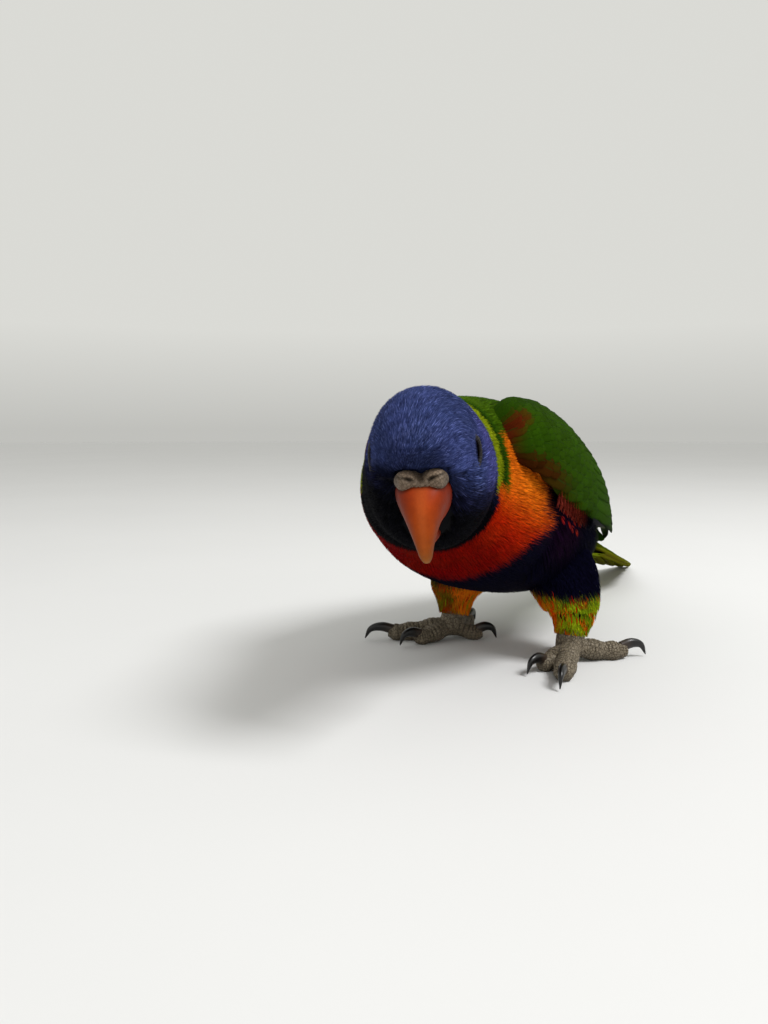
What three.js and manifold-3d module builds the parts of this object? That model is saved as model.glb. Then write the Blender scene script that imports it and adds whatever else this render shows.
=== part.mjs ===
// A rainbow lorikeet, life size and still, standing on a floor. Millimetres, +Z up.
// The bird leans forward over its feet, its head is turned to its left, and its tail tips lie on the floor.
// It is drawn straight first, facing -Y with its left side on +X. The neck is bent afterwards, by turned().
import * as THREE from "three";
import { mergeVertices } from "three/addons/utils/BufferGeometryUtils.js";
import Module from "manifold-3d";

const wasm = await Module();
wasm.setup();

// Driving sizes.
const GAP = 0.3; // between touching pieces
const HEAD = { y: -74, z: 61 }; // middle of the skull, before the neck is bent
const HEAD_DOWN = 3; // degrees that the bill dips
const HEAD_TURN = 23; // degrees that the head turns to the bird's left
const HEAD_TILT = 4; // degrees that its left side is raised
const NECK = { y: -46, z: 60 }; // what the head turns about
const LEAN = 0.25; // forward shift of the body's rings for each millimetre down
const NECK_BEND = [-43, -61]; // where the bend starts and ends, along the leaning body
const HEAD_CUT = -61.5; // where the head is parted from the neck
const NECK_CUT = -45; // where the neck is parted from the body
const RUMP_CUT = 46; // where the tail is parted from the body
const EYE = { f: 6, u: 4.2, out: 7.9, radius: 4.2 };
const LID = { radius: 3.3, thick: 0.7, out: 2.7, turn: -18 };
const CERE = { f: 13.4, u: -0.2, radii: [5.3, 5.9, 2.5] }; // the band over the bill's root
const SWELLING = { f: 16.9, u: 0.3, out: 2.9, radii: [2.5, 2.4, 2.1] };
const NOSTRIL = { f: 19.3, u: 0.9, out: 2.6, radii: [0.75, 0.9, 0.75] };
const FLOOR = 4; // height of the floor under the drawn bird
const FOOT = { left: [23.5, -5.5], right: [-16.5, 1] };
const FOOT_TURN = { left: 0, right: 42 }; // degrees that each foot points outwards
const TAIL = { root: [0, 50, 36.5], drop: 0.29, pairs: 6, longest: 112, shorter: 8.8 };
const VANE = 0.55; // thickness of a flight feather
const WING_CORE_END = 0.76; // how far the wing's body reaches under its feathers
const SIDES = [["left", 1], ["right", -1]];

// Colours and finishes.
const FINISH = {
  blue: { color: 0x2b3a8c, roughness: 0.7 },
  green: { color: 0x3f7a1c, roughness: 0.65 },
  red: { color: 0xc03a12, roughness: 0.75 },
  tailGreen: { color: 0x55701c, roughness: 0.65 },
  thighBlue: { color: 0x1c1c48, roughness: 0.75 },
  bill: { color: 0xd9531e, roughness: 0.35 },
  cere: { color: 0x6b6157, roughness: 0.6 },
  eye: { color: 0x6a1c10, roughness: 0.08 },
  skin: { color: 0x8f8b85, roughness: 0.7 },
  claw: { color: 0x221a18, roughness: 0.3 },
};

const v = (x, y, z) => new THREE.Vector3(x, y, z);
const mix = THREE.MathUtils.lerp;
const radians = THREE.MathUtils.degToRad;

// A closed geometry as a solid with its faces pointing out.
function solid(geometry) {
  const bare = geometry.index ? geometry.toNonIndexed() : geometry.clone();
  bare.deleteAttribute("normal");
  bare.deleteAttribute("uv");
  const merged = mergeVertices(bare, 1e-4);
  const vertProperties = merged.attributes.position.array;
  const make = (triVerts) => new wasm.Manifold(new wasm.Mesh({ numProp: 3, vertProperties, triVerts }));
  const made = make(new Uint32Array(merged.index.array));
  return made.volume() > 0 ? made : make(new Uint32Array(merged.index.array).reverse());
}

// The largest closed body of a solid.
function largest(made) {
  return made.decompose().sort((a, b) => b.volume() - a.volume())[0];
}

function geometryOf(made) {
  const mesh = made.getMesh();
  const positions = new Float32Array(mesh.numVert * 3);
  for (let i = 0; i < mesh.numVert; i++) {
    positions.set(mesh.vertProperties.subarray(i * mesh.numProp, i * mesh.numProp + 3), i * 3);
  }
  const geometry = new THREE.BufferGeometry();
  geometry.setAttribute("position", new THREE.BufferAttribute(positions, 3));
  geometry.setIndex(new THREE.BufferAttribute(mesh.triVerts, 1));
  return geometry;
}

function fuse(solids) {
  return largest(solids.reduce((sum, next) => sum.add(next)));
}

function box(low, high) {
  const size = v(...high).sub(v(...low));
  const geometry = new THREE.BoxGeometry(size.x, size.y, size.z);
  geometry.translate(low[0] + size.x / 2, low[1] + size.y / 2, low[2] + size.z / 2);
  return solid(geometry);
}

// A closed skin over rings of points, with a fan at each end. grow moves every point out along its normal.
function skin(rings, grow = 0) {
  const sides = rings[0].length;
  const points = rings.flat();
  const first = points.push(middle(rings[0])) - 1;
  const last = points.push(middle(rings.at(-1))) - 1;
  const faces = [];
  for (let i = 0; i < sides; i++) {
    const j = (i + 1) % sides;
    for (let r = 0; r + 1 < rings.length; r++) {
      const [a, b, c, d] = [r * sides + i, r * sides + j, (r + 1) * sides + i, (r + 1) * sides + j];
      faces.push(a, b, c, b, d, c);
    }
    const end = (rings.length - 1) * sides;
    faces.push(first, j, i, last, end + i, end + j);
  }
  if (volumeOf(points, faces) < 0) faces.reverse();
  const geometry = new THREE.BufferGeometry().setFromPoints(points).setIndex(faces);
  if (grow) {
    geometry.computeVertexNormals();
    const normals = geometry.attributes.normal;
    const grown = points.map((p, i) => {
      const out = v(0, 0, 0).fromBufferAttribute(normals, i);
      return p.clone().addScaledVector(out, grow);
    });
    geometry.setFromPoints(grown);
  }
  return geometry;
}

function volumeOf(points, faces) {
  let sum = 0;
  for (let i = 0; i < faces.length; i += 3) {
    const [a, b, c] = [points[faces[i]], points[faces[i + 1]], points[faces[i + 2]]];
    sum += a.dot(b.clone().cross(c)) / 6;
  }
  return sum;
}

function middle(ring) {
  return ring.reduce((sum, p) => sum.add(p), v(0, 0, 0)).divideScalar(ring.length);
}

// A smooth curve through values of up to three numbers each, read from 0 to 1 with equal steps between them.
function smooth(values) {
  const points = values.map((value) => v(value[0], value[1] ?? 0, value[2] ?? 0));
  return new THREE.CatmullRomCurve3(points, false, "catmullrom", 0.5);
}

// A form seen from the side: each station has its top and bottom as [y, z], its half width, and how far
// below its middle it is widest. grow makes it larger all round.
function profileForm(stations, { rings, sides, grow = 0, fullness = 0.92 }) {
  const tops = smooth(stations.map((s) => [0, ...s.top]));
  const bottoms = smooth(stations.map((s) => [0, ...s.bottom]));
  const sizes = smooth(stations.map((s) => [s.wide, s.low ?? 0]));
  const made = [];
  for (let r = 0; r <= rings; r++) {
    const t = r / rings;
    const [top, bottom, size] = [tops.getPoint(t), bottoms.getPoint(t), sizes.getPoint(t)];
    const centre = top.clone().add(bottom).divideScalar(2);
    const up = top.clone().sub(bottom);
    const half = up.length() / 2;
    up.normalize();
    const ring = [];
    for (let i = 0; i < sides; i++) {
      const angle = (i / sides) * Math.PI * 2;
      const [across, along] = [Math.sin(angle), Math.cos(angle)];
      const sideways = Math.sign(across) * Math.abs(across) ** fullness * size.x;
      const height = (along - size.y * across * across) * half;
      ring.push(v(sideways, 0, 0).add(centre).addScaledVector(up, height));
    }
    made.push(ring);
  }
  return solid(skin(made, grow));
}

// A round form along a smooth path, with a radius, or a width and a height, at each point.
function limb(path, radii, { rings = 10, sides = 10, grow = 0 } = {}) {
  const line = smooth(path);
  const sizes = smooth(radii.map((r) => (Array.isArray(r) ? r : [r, r])));
  const run = line.getPoint(1).sub(line.getPoint(0)).normalize();
  const flat = Math.abs(run.z) > 0.7 ? v(0, 1, 0) : v(0, 0, 1);
  const made = [];
  for (let r = 0; r <= rings; r++) {
    const t = r / rings;
    const [centre, along, size] = [line.getPoint(t), line.getTangent(t), sizes.getPoint(t)];
    const across = along.clone().cross(flat).normalize();
    const up = across.clone().cross(along).normalize();
    const ring = [];
    for (let i = 0; i < sides; i++) {
      const angle = (i / sides) * Math.PI * 2;
      const point = centre.clone().addScaledVector(across, Math.cos(angle) * size.x);
      ring.push(point.addScaledVector(up, Math.sin(angle) * size.y));
    }
    made.push(ring);
  }
  return solid(skin(made, grow));
}

// A point of the head, f in front of the skull's middle and u above it, as [y, z].
function headPoint(f, u) {
  const dip = radians(HEAD_DOWN);
  return [
    HEAD.y - f * Math.cos(dip) - u * Math.sin(dip),
    HEAD.z - f * Math.sin(dip) + u * Math.cos(dip),
  ];
}

function headStation(top, bottom, wide, low = 0) {
  return { top: headPoint(...top), bottom: headPoint(...bottom), wide, low };
}

// The body and head in one, from the tail's root to the forehead.
const BODY = [
  { top: [76, 30.5], bottom: [76, 25.5], wide: 5.5 },
  { top: [67, 35], bottom: [66, 25], wide: 9 },
  { top: [58, 42.5], bottom: [56, 24.2], wide: 12.5 },
  { top: [48, 50], bottom: [44, 22.8], wide: 16.2 },
  { top: [37, 58.5], bottom: [31, 21.2], wide: 20, low: 0.05 },
  { top: [24, 65], bottom: [17, 20.2], wide: 23.2, low: 0.1 },
  { top: [10, 71.5], bottom: [2, 20.8], wide: 25.2, low: 0.12 },
  { top: [-4, 76.4], bottom: [-13, 23.2], wide: 26, low: 0.12 },
  { top: [-17, 78.4], bottom: [-28, 27], wide: 25.6, low: 0.1 },
  { top: [-29, 79], bottom: [-41, 32], wide: 23.4, low: 0.1 },
  { top: [-39, 78.3], bottom: [-50.5, 38], wide: 20.4, low: 0.1 },
  { top: [-47, 78], bottom: [-58, 42.5], wide: 17.2, low: 0.08 },
  headStation([-17, 17], [-10, -17.8], 15.2, 0.05),
  headStation([-9, 18.2], [-4, -18], 14.7, 0.05),
  headStation([-1, 18.4], [1, -17], 13.7, 0.05),
  headStation([6, 17.5], [5, -15.2], 12.3, 0.05),
  headStation([11.5, 15.6], [8.6, -12.8], 10.6, 0),
  headStation([15.5, 12.8], [11.4, -8.5], 8.7, -0.05),
  headStation([18.4, 9.6], [14.2, -3.5], 6.6, -0.1),
  headStation([20, 6.6], [16.4, 1], 5.2, -0.1),
  headStation([19.8, 5], [17.8, 3], 2.8, 0),
];

const UPPER_BILL = [
  headStation([10, 0.6], [5, -10], 5.8, -0.3),
  headStation([14.5, 1], [9, -10.2], 5.7, -0.3),
  headStation([18.1, -0.2], [12.6, -10.2], 4.9, -0.25),
  headStation([20.4, -2.8], [14.8, -10.4], 3.9, -0.15),
  headStation([21.6, -6.3], [16, -11], 2.95, 0),
  headStation([21.3, -10.1], [16.4, -12], 2.2, 0.05),
  headStation([19.9, -13.2], [16.4, -13.2], 1.65, 0.05),
  headStation([18.3, -15.2], [16.3, -14.3], 1.3, 0),
  headStation([16.8, -16.3], [15.9, -15.5], 0.8, 0),
];

const LOWER_BILL = [
  headStation([3, -10.2], [1.5, -13.4], 3, -0.2),
  headStation([8, -10.4], [6, -14], 2.6, -0.2),
  headStation([11.2, -10.7], [9.8, -14.1], 2, -0.2),
  headStation([13.7, -11.2], [12.9, -13.5], 1.4, -0.1),
  headStation([14.8, -12.1], [14.3, -12.8], 0.7, 0),
];

function bodyForm(grow = 0) {
  return profileForm(BODY, { rings: 34, sides: 30, grow });
}

// The flat slab at one place along the leaning body, or all that lies ahead of it.
function ahead(at, depth = 200) {
  const slab = new THREE.BoxGeometry(200, depth, 400);
  slab.translate(0, -depth / 2, 0);
  const places = slab.attributes.position;
  for (let i = 0; i < places.count; i++) {
    places.setY(i, places.getY(i) + at + LEAN * (places.getZ(i) - NECK.z));
  }
  return solid(slab);
}

function ball(centre, radii, [across, down] = [20, 14]) {
  const geometry = new THREE.SphereGeometry(1, across, down);
  geometry.scale(...radii);
  geometry.translate(...centre);
  return solid(geometry);
}

function onHead(f, u, out) {
  const [y, z] = headPoint(f, u);
  return [out, y, z];
}

// Eyes, in sockets with a raised lid round each.
function eyeBall(side, grow = 0) {
  const radius = EYE.radius + grow;
  return ball(onHead(EYE.f, EYE.u, side * EYE.out), [radius, radius, radius], [14, 10]);
}

function lid(side) {
  const ring = new THREE.TorusGeometry(LID.radius, LID.thick, 6, 20);
  ring.rotateY(Math.PI / 2);
  ring.rotateZ(side * radians(LID.turn));
  ring.translate(...onHead(EYE.f, EYE.u, side * (EYE.out + LID.out)));
  return solid(ring);
}

// The wing, folded against the body. Each station runs from its edge on the back to its lower edge.
const WING = [
  { back: [11, -38, 73.4], low: [18.6, -42, 64.6], bulge: 1, deep: 3 },
  { back: [12.8, -31, 77.4], low: [24.6, -36.5, 60], bulge: 4.2, deep: 6 },
  { back: [12.4, -20, 78.2], low: [27.4, -24, 53], bulge: 5.4, deep: 7 },
  { back: [12, -5, 77.2], low: [28.6, -6, 47], bulge: 5.6, deep: 7 },
  { back: [11.2, 12, 72.2], low: [28, 13, 41.6], bulge: 5.4, deep: 7 },
  { back: [10.2, 31, 62.8], low: [24.8, 33, 37.6], bulge: 4.4, deep: 6 },
  { back: [8.8, 50, 51], low: [19.6, 54, 35], bulge: 3.4, deep: 4 },
  { back: [6.8, 70, 40], low: [13.4, 73, 31.6], bulge: 1.8, deep: 2 },
  { back: [6, 88, 31.6], low: [8.8, 90, 29], bulge: 0.6, deep: 1 },
];

const wingBack = smooth(WING.map((s) => s.back));
const wingLow = smooth(WING.map((s) => s.low));
const wingSizes = smooth(WING.map((s) => [s.bulge, s.deep]));

// A point on the wing's outer face: s from the bend to the tip, k from the back to the lower edge.
function onWing(s, k, lift = 0) {
  const [back, low, size] = [wingBack.getPoint(s), wingLow.getPoint(s), wingSizes.getPoint(s)];
  const chord = low.clone().sub(back);
  const out = chord.clone().cross(wingBack.getTangent(s)).normalize();
  if (out.x < 0) out.negate();
  const point = back.addScaledVector(chord, k);
  point.addScaledVector(out, size.x * 4 * k * (1 - k) + lift);
  const tilt = (size.x * 4 * (1 - 2 * k)) / chord.length();
  const across = chord.normalize().clone().addScaledVector(out, tilt).normalize();
  return { point, across, out: out.addScaledVector(chord, -tilt).normalize(), deep: size.y };
}

function mirrored(point, side) {
  return v(point.x * side, point.y, point.z);
}

// The wing's body under its feathers.
function wingCore(side) {
  const rings = [];
  const [steps, rows] = [15, 5];
  for (let i = 0; i <= steps; i++) {
    const s = (i / steps) * WING_CORE_END;
    const outer = [];
    const inner = [];
    for (let j = 0; j <= rows; j++) {
      const k = j / rows;
      const { point, out, deep } = onWing(s, k);
      outer.push(mirrored(point, side));
      if (j > 0 && j < rows) {
        const under = point.clone().addScaledVector(out, -deep * (0.35 + 2.6 * k * (1 - k)));
        inner.unshift(mirrored(under, side));
      }
    }
    rings.push([...outer, ...inner]);
  }
  return solid(skin(rings));
}

// A feather as a closed plate. at(t) gives the middle of its width, the way across it and the way out.
const ROUND_TIP = { steps: [0, 0.5, 0.86, 1], widths: [0.75, 1, 0.86, 0.2] };
const LONG_TIP = { steps: [0, 0.4, 0.75, 0.93, 1], widths: [0.75, 1, 0.92, 0.6, 0.14] };

function vane(at, wide, shape, { roll = 0, grow = 0 } = {}) {
  const rings = shape.steps.map((t, i) => {
    const { point, across, out } = at(t);
    const corners = [[1, 1], [1, -1], [-1, -1], [-1, 1]];
    return corners.map(([a, b]) => {
      const corner = point.clone().addScaledVector(across, a * wide * shape.widths[i]);
      return corner.addScaledVector(out, (b * VANE) / 2 + a * roll * shape.widths[i]);
    });
  });
  return solid(skin(rings, grow));
}

// The wing's tiers from the lowest: how many feathers, half their width, where along the wing their roots
// and tips lie at its lower edge and at its back, how far across the wing they are spread, and their lift.
const TIERS = [
  {
    count: 6, wide: 4.4, roll: 0,
    root: [0.4, 0.34], tip: [1, 0.72], across: [0.82, 0.26], lift: [-1.5, -1.3, 0.58],
  },
  {
    count: 6, wide: 4.6, roll: 0.34,
    root: [0.24, 0.22], tip: [0.66, 0.6], across: [0.84, 0.1], lift: [-0.8, 0.8, 0],
  },
  {
    count: 6, wide: 4.9, roll: 0.34,
    root: [0.12, 0.12], tip: [0.43, 0.41], across: [0.9, 0.08], lift: [-0.9, 1.5, 0],
  },
  {
    count: 6, wide: 4.6, roll: 0.34,
    root: [0.04, 0.04], tip: [0.27, 0.25], across: [0.9, 0.1], lift: [-0.9, 1.6, 0],
  },
];

function wingFeathers(side) {
  const made = [];
  for (const tier of TIERS) {
    for (let n = 0; n < tier.count; n++) {
      const share = n / (tier.count - 1);
      const [root, tip] = [mix(...tier.root, share), mix(...tier.tip, share)];
      const [low, high, step] = tier.lift;
      const at = (t) => {
        const place = onWing(mix(root, tip, t), mix(...tier.across, share), mix(low, high + n * step, t));
        return {
          point: mirrored(place.point, side),
          across: mirrored(place.across, side),
          out: mirrored(place.out, side),
        };
      };
      made.push(vane(at, tier.wide, tier.roll ? ROUND_TIP : LONG_TIP, { roll: tier.roll }));
    }
  }
  return made;
}

// The tail, straight from its root to its tips on the floor.
function onTail(along, across, height) {
  const [x, y, z] = TAIL.root;
  const out = v(0, TAIL.drop, 1).normalize();
  const point = v(x + across, y + along, z - TAIL.drop * along).addScaledVector(out, height);
  return { point, across: v(1, 0, 0), out };
}

// Pairs of tail feathers, the middle pair on top and longest, with coverts over and under their roots.
function tailFeathers(grow = 0) {
  const made = [];
  for (let pair = 0; pair < TAIL.pairs; pair++) {
    const long = TAIL.longest - pair * TAIL.shorter;
    for (const [, side] of SIDES) {
      const height = -0.85 * pair - (side > 0 ? 0 : 0.35);
      const at = (t) => onTail(long * t, side * mix(1.4 + 0.8 * pair, 1.4 + 2.1 * pair, t), height);
      made.push(vane(at, 5.2, LONG_TIP, { roll: -side * 0.2, grow }));
    }
  }
  for (const n of [-2, -1, 0, 1, 2]) {
    const over = (t) => onTail(mix(5, 38, t), n * mix(2.8, 3.9, t), mix(5.4, 1.3, t) - Math.abs(n) * 0.5);
    const under = (t) => onTail(mix(5, 44, t), n * mix(2.8, 4.2, t), mix(-9, -5.4, t) + Math.abs(n) * 0.35);
    made.push(vane(over, 4, ROUND_TIP, { grow }), vane(under, 4, ROUND_TIP, { grow }));
  }
  return made;
}

// Legs: the feathered thigh, then the bare foot with four toes, two in front and two behind.
function footPoint(side, forward, out, up) {
  const name = side > 0 ? "left" : "right";
  const [x, y] = FOOT[name];
  const turn = radians(FOOT_TURN[name]) * side;
  const [fx, fy] = [Math.sin(turn), -Math.cos(turn)];
  return [x + fx * forward - fy * out * side, y + fy * forward + fx * out * side, FLOOR + up];
}

// The thigh runs from inside the belly to the heel: how far from its top to the foot, its height and radii.
const THIGH_TOP = { out: 10, y: 5 };
const HEEL_BACK = 2;
const THIGH = [
  { out: 0, back: 0, height: 38, radii: [10, 11] },
  { out: 0.62, back: 0.5, height: 28, radii: [10, 11.4] },
  { out: 0.93, back: 0.9, height: FLOOR + 16.5, radii: [8.3, 9] },
  { out: 1, back: 1, height: FLOOR + 8.6, radii: [5.4, 5.6] },
];

function thigh(side, grow = 0) {
  const [x, y] = FOOT[side > 0 ? "left" : "right"];
  const path = THIGH.map(({ out, back, height }) => [
    mix(side * THIGH_TOP.out, x, out),
    mix(THIGH_TOP.y, y + HEEL_BACK, back),
    height,
  ]);
  return limb(path, THIGH.map(({ radii }) => radii), { rings: 8, sides: 16, grow });
}

// Each toe: its angle from straight ahead towards the outside, its length without claw, and its thickness.
const TOES = [
  { name: "outer_front", angle: 12, long: 20.5, thick: 2.9, claw: 9 },
  { name: "inner_front", angle: -16, long: 14.5, thick: 2.6, claw: 7.5 },
  { name: "outer_hind", angle: 132, long: 17.5, thick: 2.8, claw: 8 },
  { name: "inner_hind", angle: -152, long: 9.5, thick: 2.4, claw: 6 },
];

function alongToe(side, toe, distance, up) {
  const angle = radians(toe.angle);
  return footPoint(side, Math.cos(angle) * distance, Math.sin(angle) * distance, up);
}

// Along a toe: share of its length, then height of its middle and radius as shares of its thickness.
const TOE = [[0, 1.6, 1.12], [0.3, 1.25, 1.02], [0.62, 0.9, 1], [0.86, 0.82, 0.92], [1, 0.9, 0.6]];

function toeForm(side, toe, grow) {
  const { long, thick } = toe;
  const path = TOE.map(([t, height]) => alongToe(side, toe, long * t, thick * height));
  return limb(path, TOE.map(([, , radius]) => radius * thick), { rings: 7, sides: 8, grow });
}

// The shank, from between the toes up into the thigh.
const SHANK = [
  { forward: 0, up: 3.6, radii: [4.2, 4.3] },
  { forward: -0.6, up: 8, radii: [3.9, 4.1] },
  { forward: -1.5, up: 15, radii: [3, 3] },
];

function foot(side, grow = 0) {
  const path = SHANK.map(({ forward, up }) => footPoint(side, forward, 0, up));
  const leg = limb(path, SHANK.map(({ radii }) => radii), { rings: 4, sides: 10, grow });
  return fuse([leg, ...TOES.map((toe) => toeForm(side, toe, grow))]);
}

// Along a claw: share of its length, height and radii.
const CLAW_ROOT = 1.6; // how far the claw starts inside the toe
const CLAW = [[0, 3.3, 1.25, 1.6], [0.42, 4.3, 1.1, 1.45], [0.8, 3.6, 0.75, 0.95], [1, 0.75, 0.16, 0.16]];

function claw(side, toe) {
  const path = CLAW.map(([t, up]) => alongToe(side, toe, toe.long - CLAW_ROOT + toe.claw * t, up));
  return limb(path, CLAW.map(([, , across, high]) => [across, high]), { rings: 5, sides: 6 });
}

// Bends the neck: every ring of the leaning body turns as one, more towards the head.
function turned(point) {
  const place = point.y - LEAN * (point.z - NECK.z);
  const share = 1 - THREE.MathUtils.smoothstep(place, NECK_BEND[1], NECK_BEND[0]);
  const tilt = radians(HEAD_TILT) * share;
  const turn = radians(HEAD_TURN) * share;
  const [x, z] = [point.x, point.z - HEAD.z];
  const [level, height] = [x * Math.cos(tilt) - z * Math.sin(tilt), x * Math.sin(tilt) + z * Math.cos(tilt)];
  const tilted = v(level, point.y - NECK.y, height);
  tilted.applyAxisAngle(v(0, 0, 1), turn);
  return tilted.add(v(0, NECK.y, HEAD.z));
}

const group = new THREE.Group();

function add(name, made, finish) {
  const geometry = geometryOf(largest(made));
  const places = geometry.attributes.position;
  for (let i = 0; i < places.count; i++) {
    const point = turned(v(places.getX(i), places.getY(i), places.getZ(i)));
    places.setXYZ(i, point.x, point.y, point.z);
  }
  const material = new THREE.MeshStandardMaterial({ ...FINISH[finish], metalness: 0 });
  const mesh = new THREE.Mesh(geometry, material);
  mesh.name = name;
  group.add(mesh);
}

const floor = box([-200, -200, -50], [200, 250, FLOOR]);
const body = bodyForm();
const bodyGrown = bodyForm(GAP);
const upperBill = profileForm(UPPER_BILL, { rings: 13, sides: 14 });
const upperBillGrown = profileForm(UPPER_BILL, { rings: 13, sides: 14, grow: GAP });

// The head, with sockets, lids and the bill's seat.
let head = body.intersect(ahead(HEAD_CUT));
for (const [, side] of SIDES) head = head.add(lid(side)).subtract(eyeBall(side, GAP));
const lowerBill = profileForm(LOWER_BILL, { rings: 7, sides: 12 });
const lowerBillGrown = profileForm(LOWER_BILL, { rings: 7, sides: 12, grow: GAP });
head = head.subtract(upperBillGrown).subtract(lowerBillGrown);
add("head", head, "blue");

// The cere: a band over the bill's root with two swellings, each with a nostril.
const pairOn = (side, { f, u, out, radii }, steps) => ball(onHead(f, u, side * out), radii, steps);
let cere = ball(onHead(CERE.f, CERE.u, 0), CERE.radii, [16, 10]);
for (const [, side] of SIDES) cere = cere.add(pairOn(side, SWELLING, [12, 8]));
for (const [, side] of SIDES) cere = cere.subtract(pairOn(side, NOSTRIL, [8, 6]));
cere = cere.subtract(bodyGrown).subtract(upperBillGrown);
add("cere", cere, "cere");
add("bill_upper", upperBill, "bill");
add("bill_lower", lowerBill.subtract(upperBillGrown), "bill");
for (const [name, side] of SIDES) add(`eye_${name}`, eyeBall(side), "eye");

add("neck", body.intersect(ahead(NECK_CUT)).subtract(ahead(HEAD_CUT + GAP)), "blue");
const trunk = body.subtract(ahead(NECK_CUT + GAP));
add("torso", trunk.intersect(ahead(RUMP_CUT)), "red");

const tailRoot = body.subtract(ahead(RUMP_CUT + GAP));
add("tail", fuse([tailRoot, ...tailFeathers()]).subtract(floor), "tailGreen");
const roundTail = fuse([bodyGrown, ...tailFeathers(GAP)]);

for (const [name, side] of SIDES) {
  const legGrown = thigh(side, GAP);
  add(`wing_${name}`, fuse([wingCore(side), ...wingFeathers(side)]).subtract(roundTail), "green");
  add(`thigh_${name}`, thigh(side).subtract(bodyGrown), "thighBlue");
  add(`foot_${name}`, foot(side).subtract(legGrown).subtract(floor), "skin");
  for (const toe of TOES) {
    add(`claw_${name}_${toe.name}`, claw(side, toe).subtract(foot(side, GAP)), "claw");
  }
}

// The origin is under the middle of the bird's outer box, on the floor.
group.updateMatrixWorld(true);
const bounds = new THREE.Box3().setFromObject(group);
group.position.set(-(bounds.min.x + bounds.max.x) / 2, -(bounds.min.y + bounds.max.y) / 2, -bounds.min.z);

export default group;
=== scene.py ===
# %% [markdown]
# # A rainbow lorikeet, feather by feather
# A small parrot looks smooth from a few steps away, but up close it is all edges: thousands of soft
# feathers lie over one another like tiles, each a fan of fine strands. This lesson builds that coat as
# real mesh over one skin, then adds the stiff feathers of the wings and the tail, and last the bare parts:
# bill, cere, eyes, feet and claws. Everything is laid out in millimetres around a bird drawn straight,
# then its neck is bent, and last it goes to metres in the frame that the construction model sets.

# %% Load the frame
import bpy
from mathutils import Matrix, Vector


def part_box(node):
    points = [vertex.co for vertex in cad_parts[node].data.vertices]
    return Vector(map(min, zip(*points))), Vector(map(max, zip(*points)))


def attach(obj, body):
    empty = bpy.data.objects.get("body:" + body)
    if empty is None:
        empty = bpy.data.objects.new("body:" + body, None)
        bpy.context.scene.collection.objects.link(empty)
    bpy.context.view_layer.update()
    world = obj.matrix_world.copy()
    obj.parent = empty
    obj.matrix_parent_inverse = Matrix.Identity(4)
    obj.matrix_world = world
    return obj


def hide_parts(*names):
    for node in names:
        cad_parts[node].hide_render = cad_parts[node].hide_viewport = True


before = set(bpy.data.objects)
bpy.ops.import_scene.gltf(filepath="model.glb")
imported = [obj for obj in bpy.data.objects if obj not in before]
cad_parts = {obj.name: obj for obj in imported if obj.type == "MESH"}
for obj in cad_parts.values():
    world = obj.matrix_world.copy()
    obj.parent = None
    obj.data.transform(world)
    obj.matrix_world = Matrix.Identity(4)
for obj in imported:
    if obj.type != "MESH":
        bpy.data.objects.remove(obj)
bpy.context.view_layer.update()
print("nodes in the frame:", len(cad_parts))

# %% [markdown]
# Shapes are worked out as arrays of points in millimetres, then turned into meshes in metres. Every scattered
# value comes from one random generator with a fixed start, so each run gives the same bird.

# %% Tools
import math

import bpy
import numpy as np
from mathutils import Matrix, Vector
from mathutils.bvhtree import BVHTree
from mathutils.kdtree import KDTree

MM = 0.001
SIDES = (("left", 1), ("right", -1))
chance = np.random.default_rng(11)
print("sides of the bird:", [name for name, _ in SIDES])

# %% [markdown]
# ## Where the camera stands
# The photo was taken from a little above the bird's back, to its front left, with a wide phone lens held
# close. Two facts tie a camera to the model: the lens, as a focal length in picture pixels, and one place on
# the bird with its pixel and its distance. The middle of the head is a good one, because it is in view.

# %% Camera
PICTURE = (768, 1024)
FOCAL_PIXELS = 788
CAMERA_TURN, CAMERA_RISE = math.radians(30), math.radians(6)
HEAD_PIXEL, HEAD_DEPTH = (414, 470), 0.170

back = Vector((math.sin(CAMERA_TURN) * math.cos(CAMERA_RISE),
               -math.cos(CAMERA_TURN) * math.cos(CAMERA_RISE), math.sin(CAMERA_RISE)))
right = Vector((0, 0, 1)).cross(back).normalized()
up = back.cross(right)
head_low, head_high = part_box("head")
pixel = HEAD_DEPTH / FOCAL_PIXELS
eye_point = (head_low + head_high) / 2 + back * HEAD_DEPTH
eye_point -= right * (HEAD_PIXEL[0] - PICTURE[0] / 2) * pixel
eye_point -= up * (PICTURE[1] / 2 - HEAD_PIXEL[1]) * pixel

lens = bpy.data.cameras.new("photo_camera")
lens.sensor_fit = "VERTICAL"
lens.sensor_height = 36
lens.lens = FOCAL_PIXELS / PICTURE[1] * lens.sensor_height
lens.clip_start = 0.005
camera = bpy.data.objects.new("photo_camera", lens)
camera.matrix_world = Matrix.Translation(eye_point) @ Matrix((right, up, back)).transposed().to_4x4()
bpy.context.scene.collection.objects.link(camera)
bpy.context.scene.camera = camera
print("camera at", [round(c / MM) for c in eye_point], "mm")

# %% [markdown]
# ## Smooth curves through a few sizes
# The bird's outline is a short table of stations. A Catmull-Rom curve passes through each of them and
# stays smooth between them, so the same table can be read at any place, however fine the mesh has to be.

# %% Read a table smoothly
def smooth(table, t):
    """Rows of a table read along it, from 0 to 1, on a Catmull-Rom curve."""
    rows = np.asarray(table, float)
    place = np.clip(t, 0, 1) * (len(rows) - 1)
    first = np.minimum(place.astype(int), len(rows) - 2)
    w = (place - first)[:, None]
    ends = np.vstack([2 * rows[0] - rows[1], rows, 2 * rows[-1] - rows[-2]])
    before, here, after, beyond = (ends[first + k] for k in range(4))
    leave, arrive = (after - before) / 2, (beyond - here) / 2
    cubic = 2 * here - 2 * after + leave + arrive
    square = -3 * here + 3 * after - 2 * leave - arrive
    return here + leave * w + square * w**2 + cubic * w**3


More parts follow.
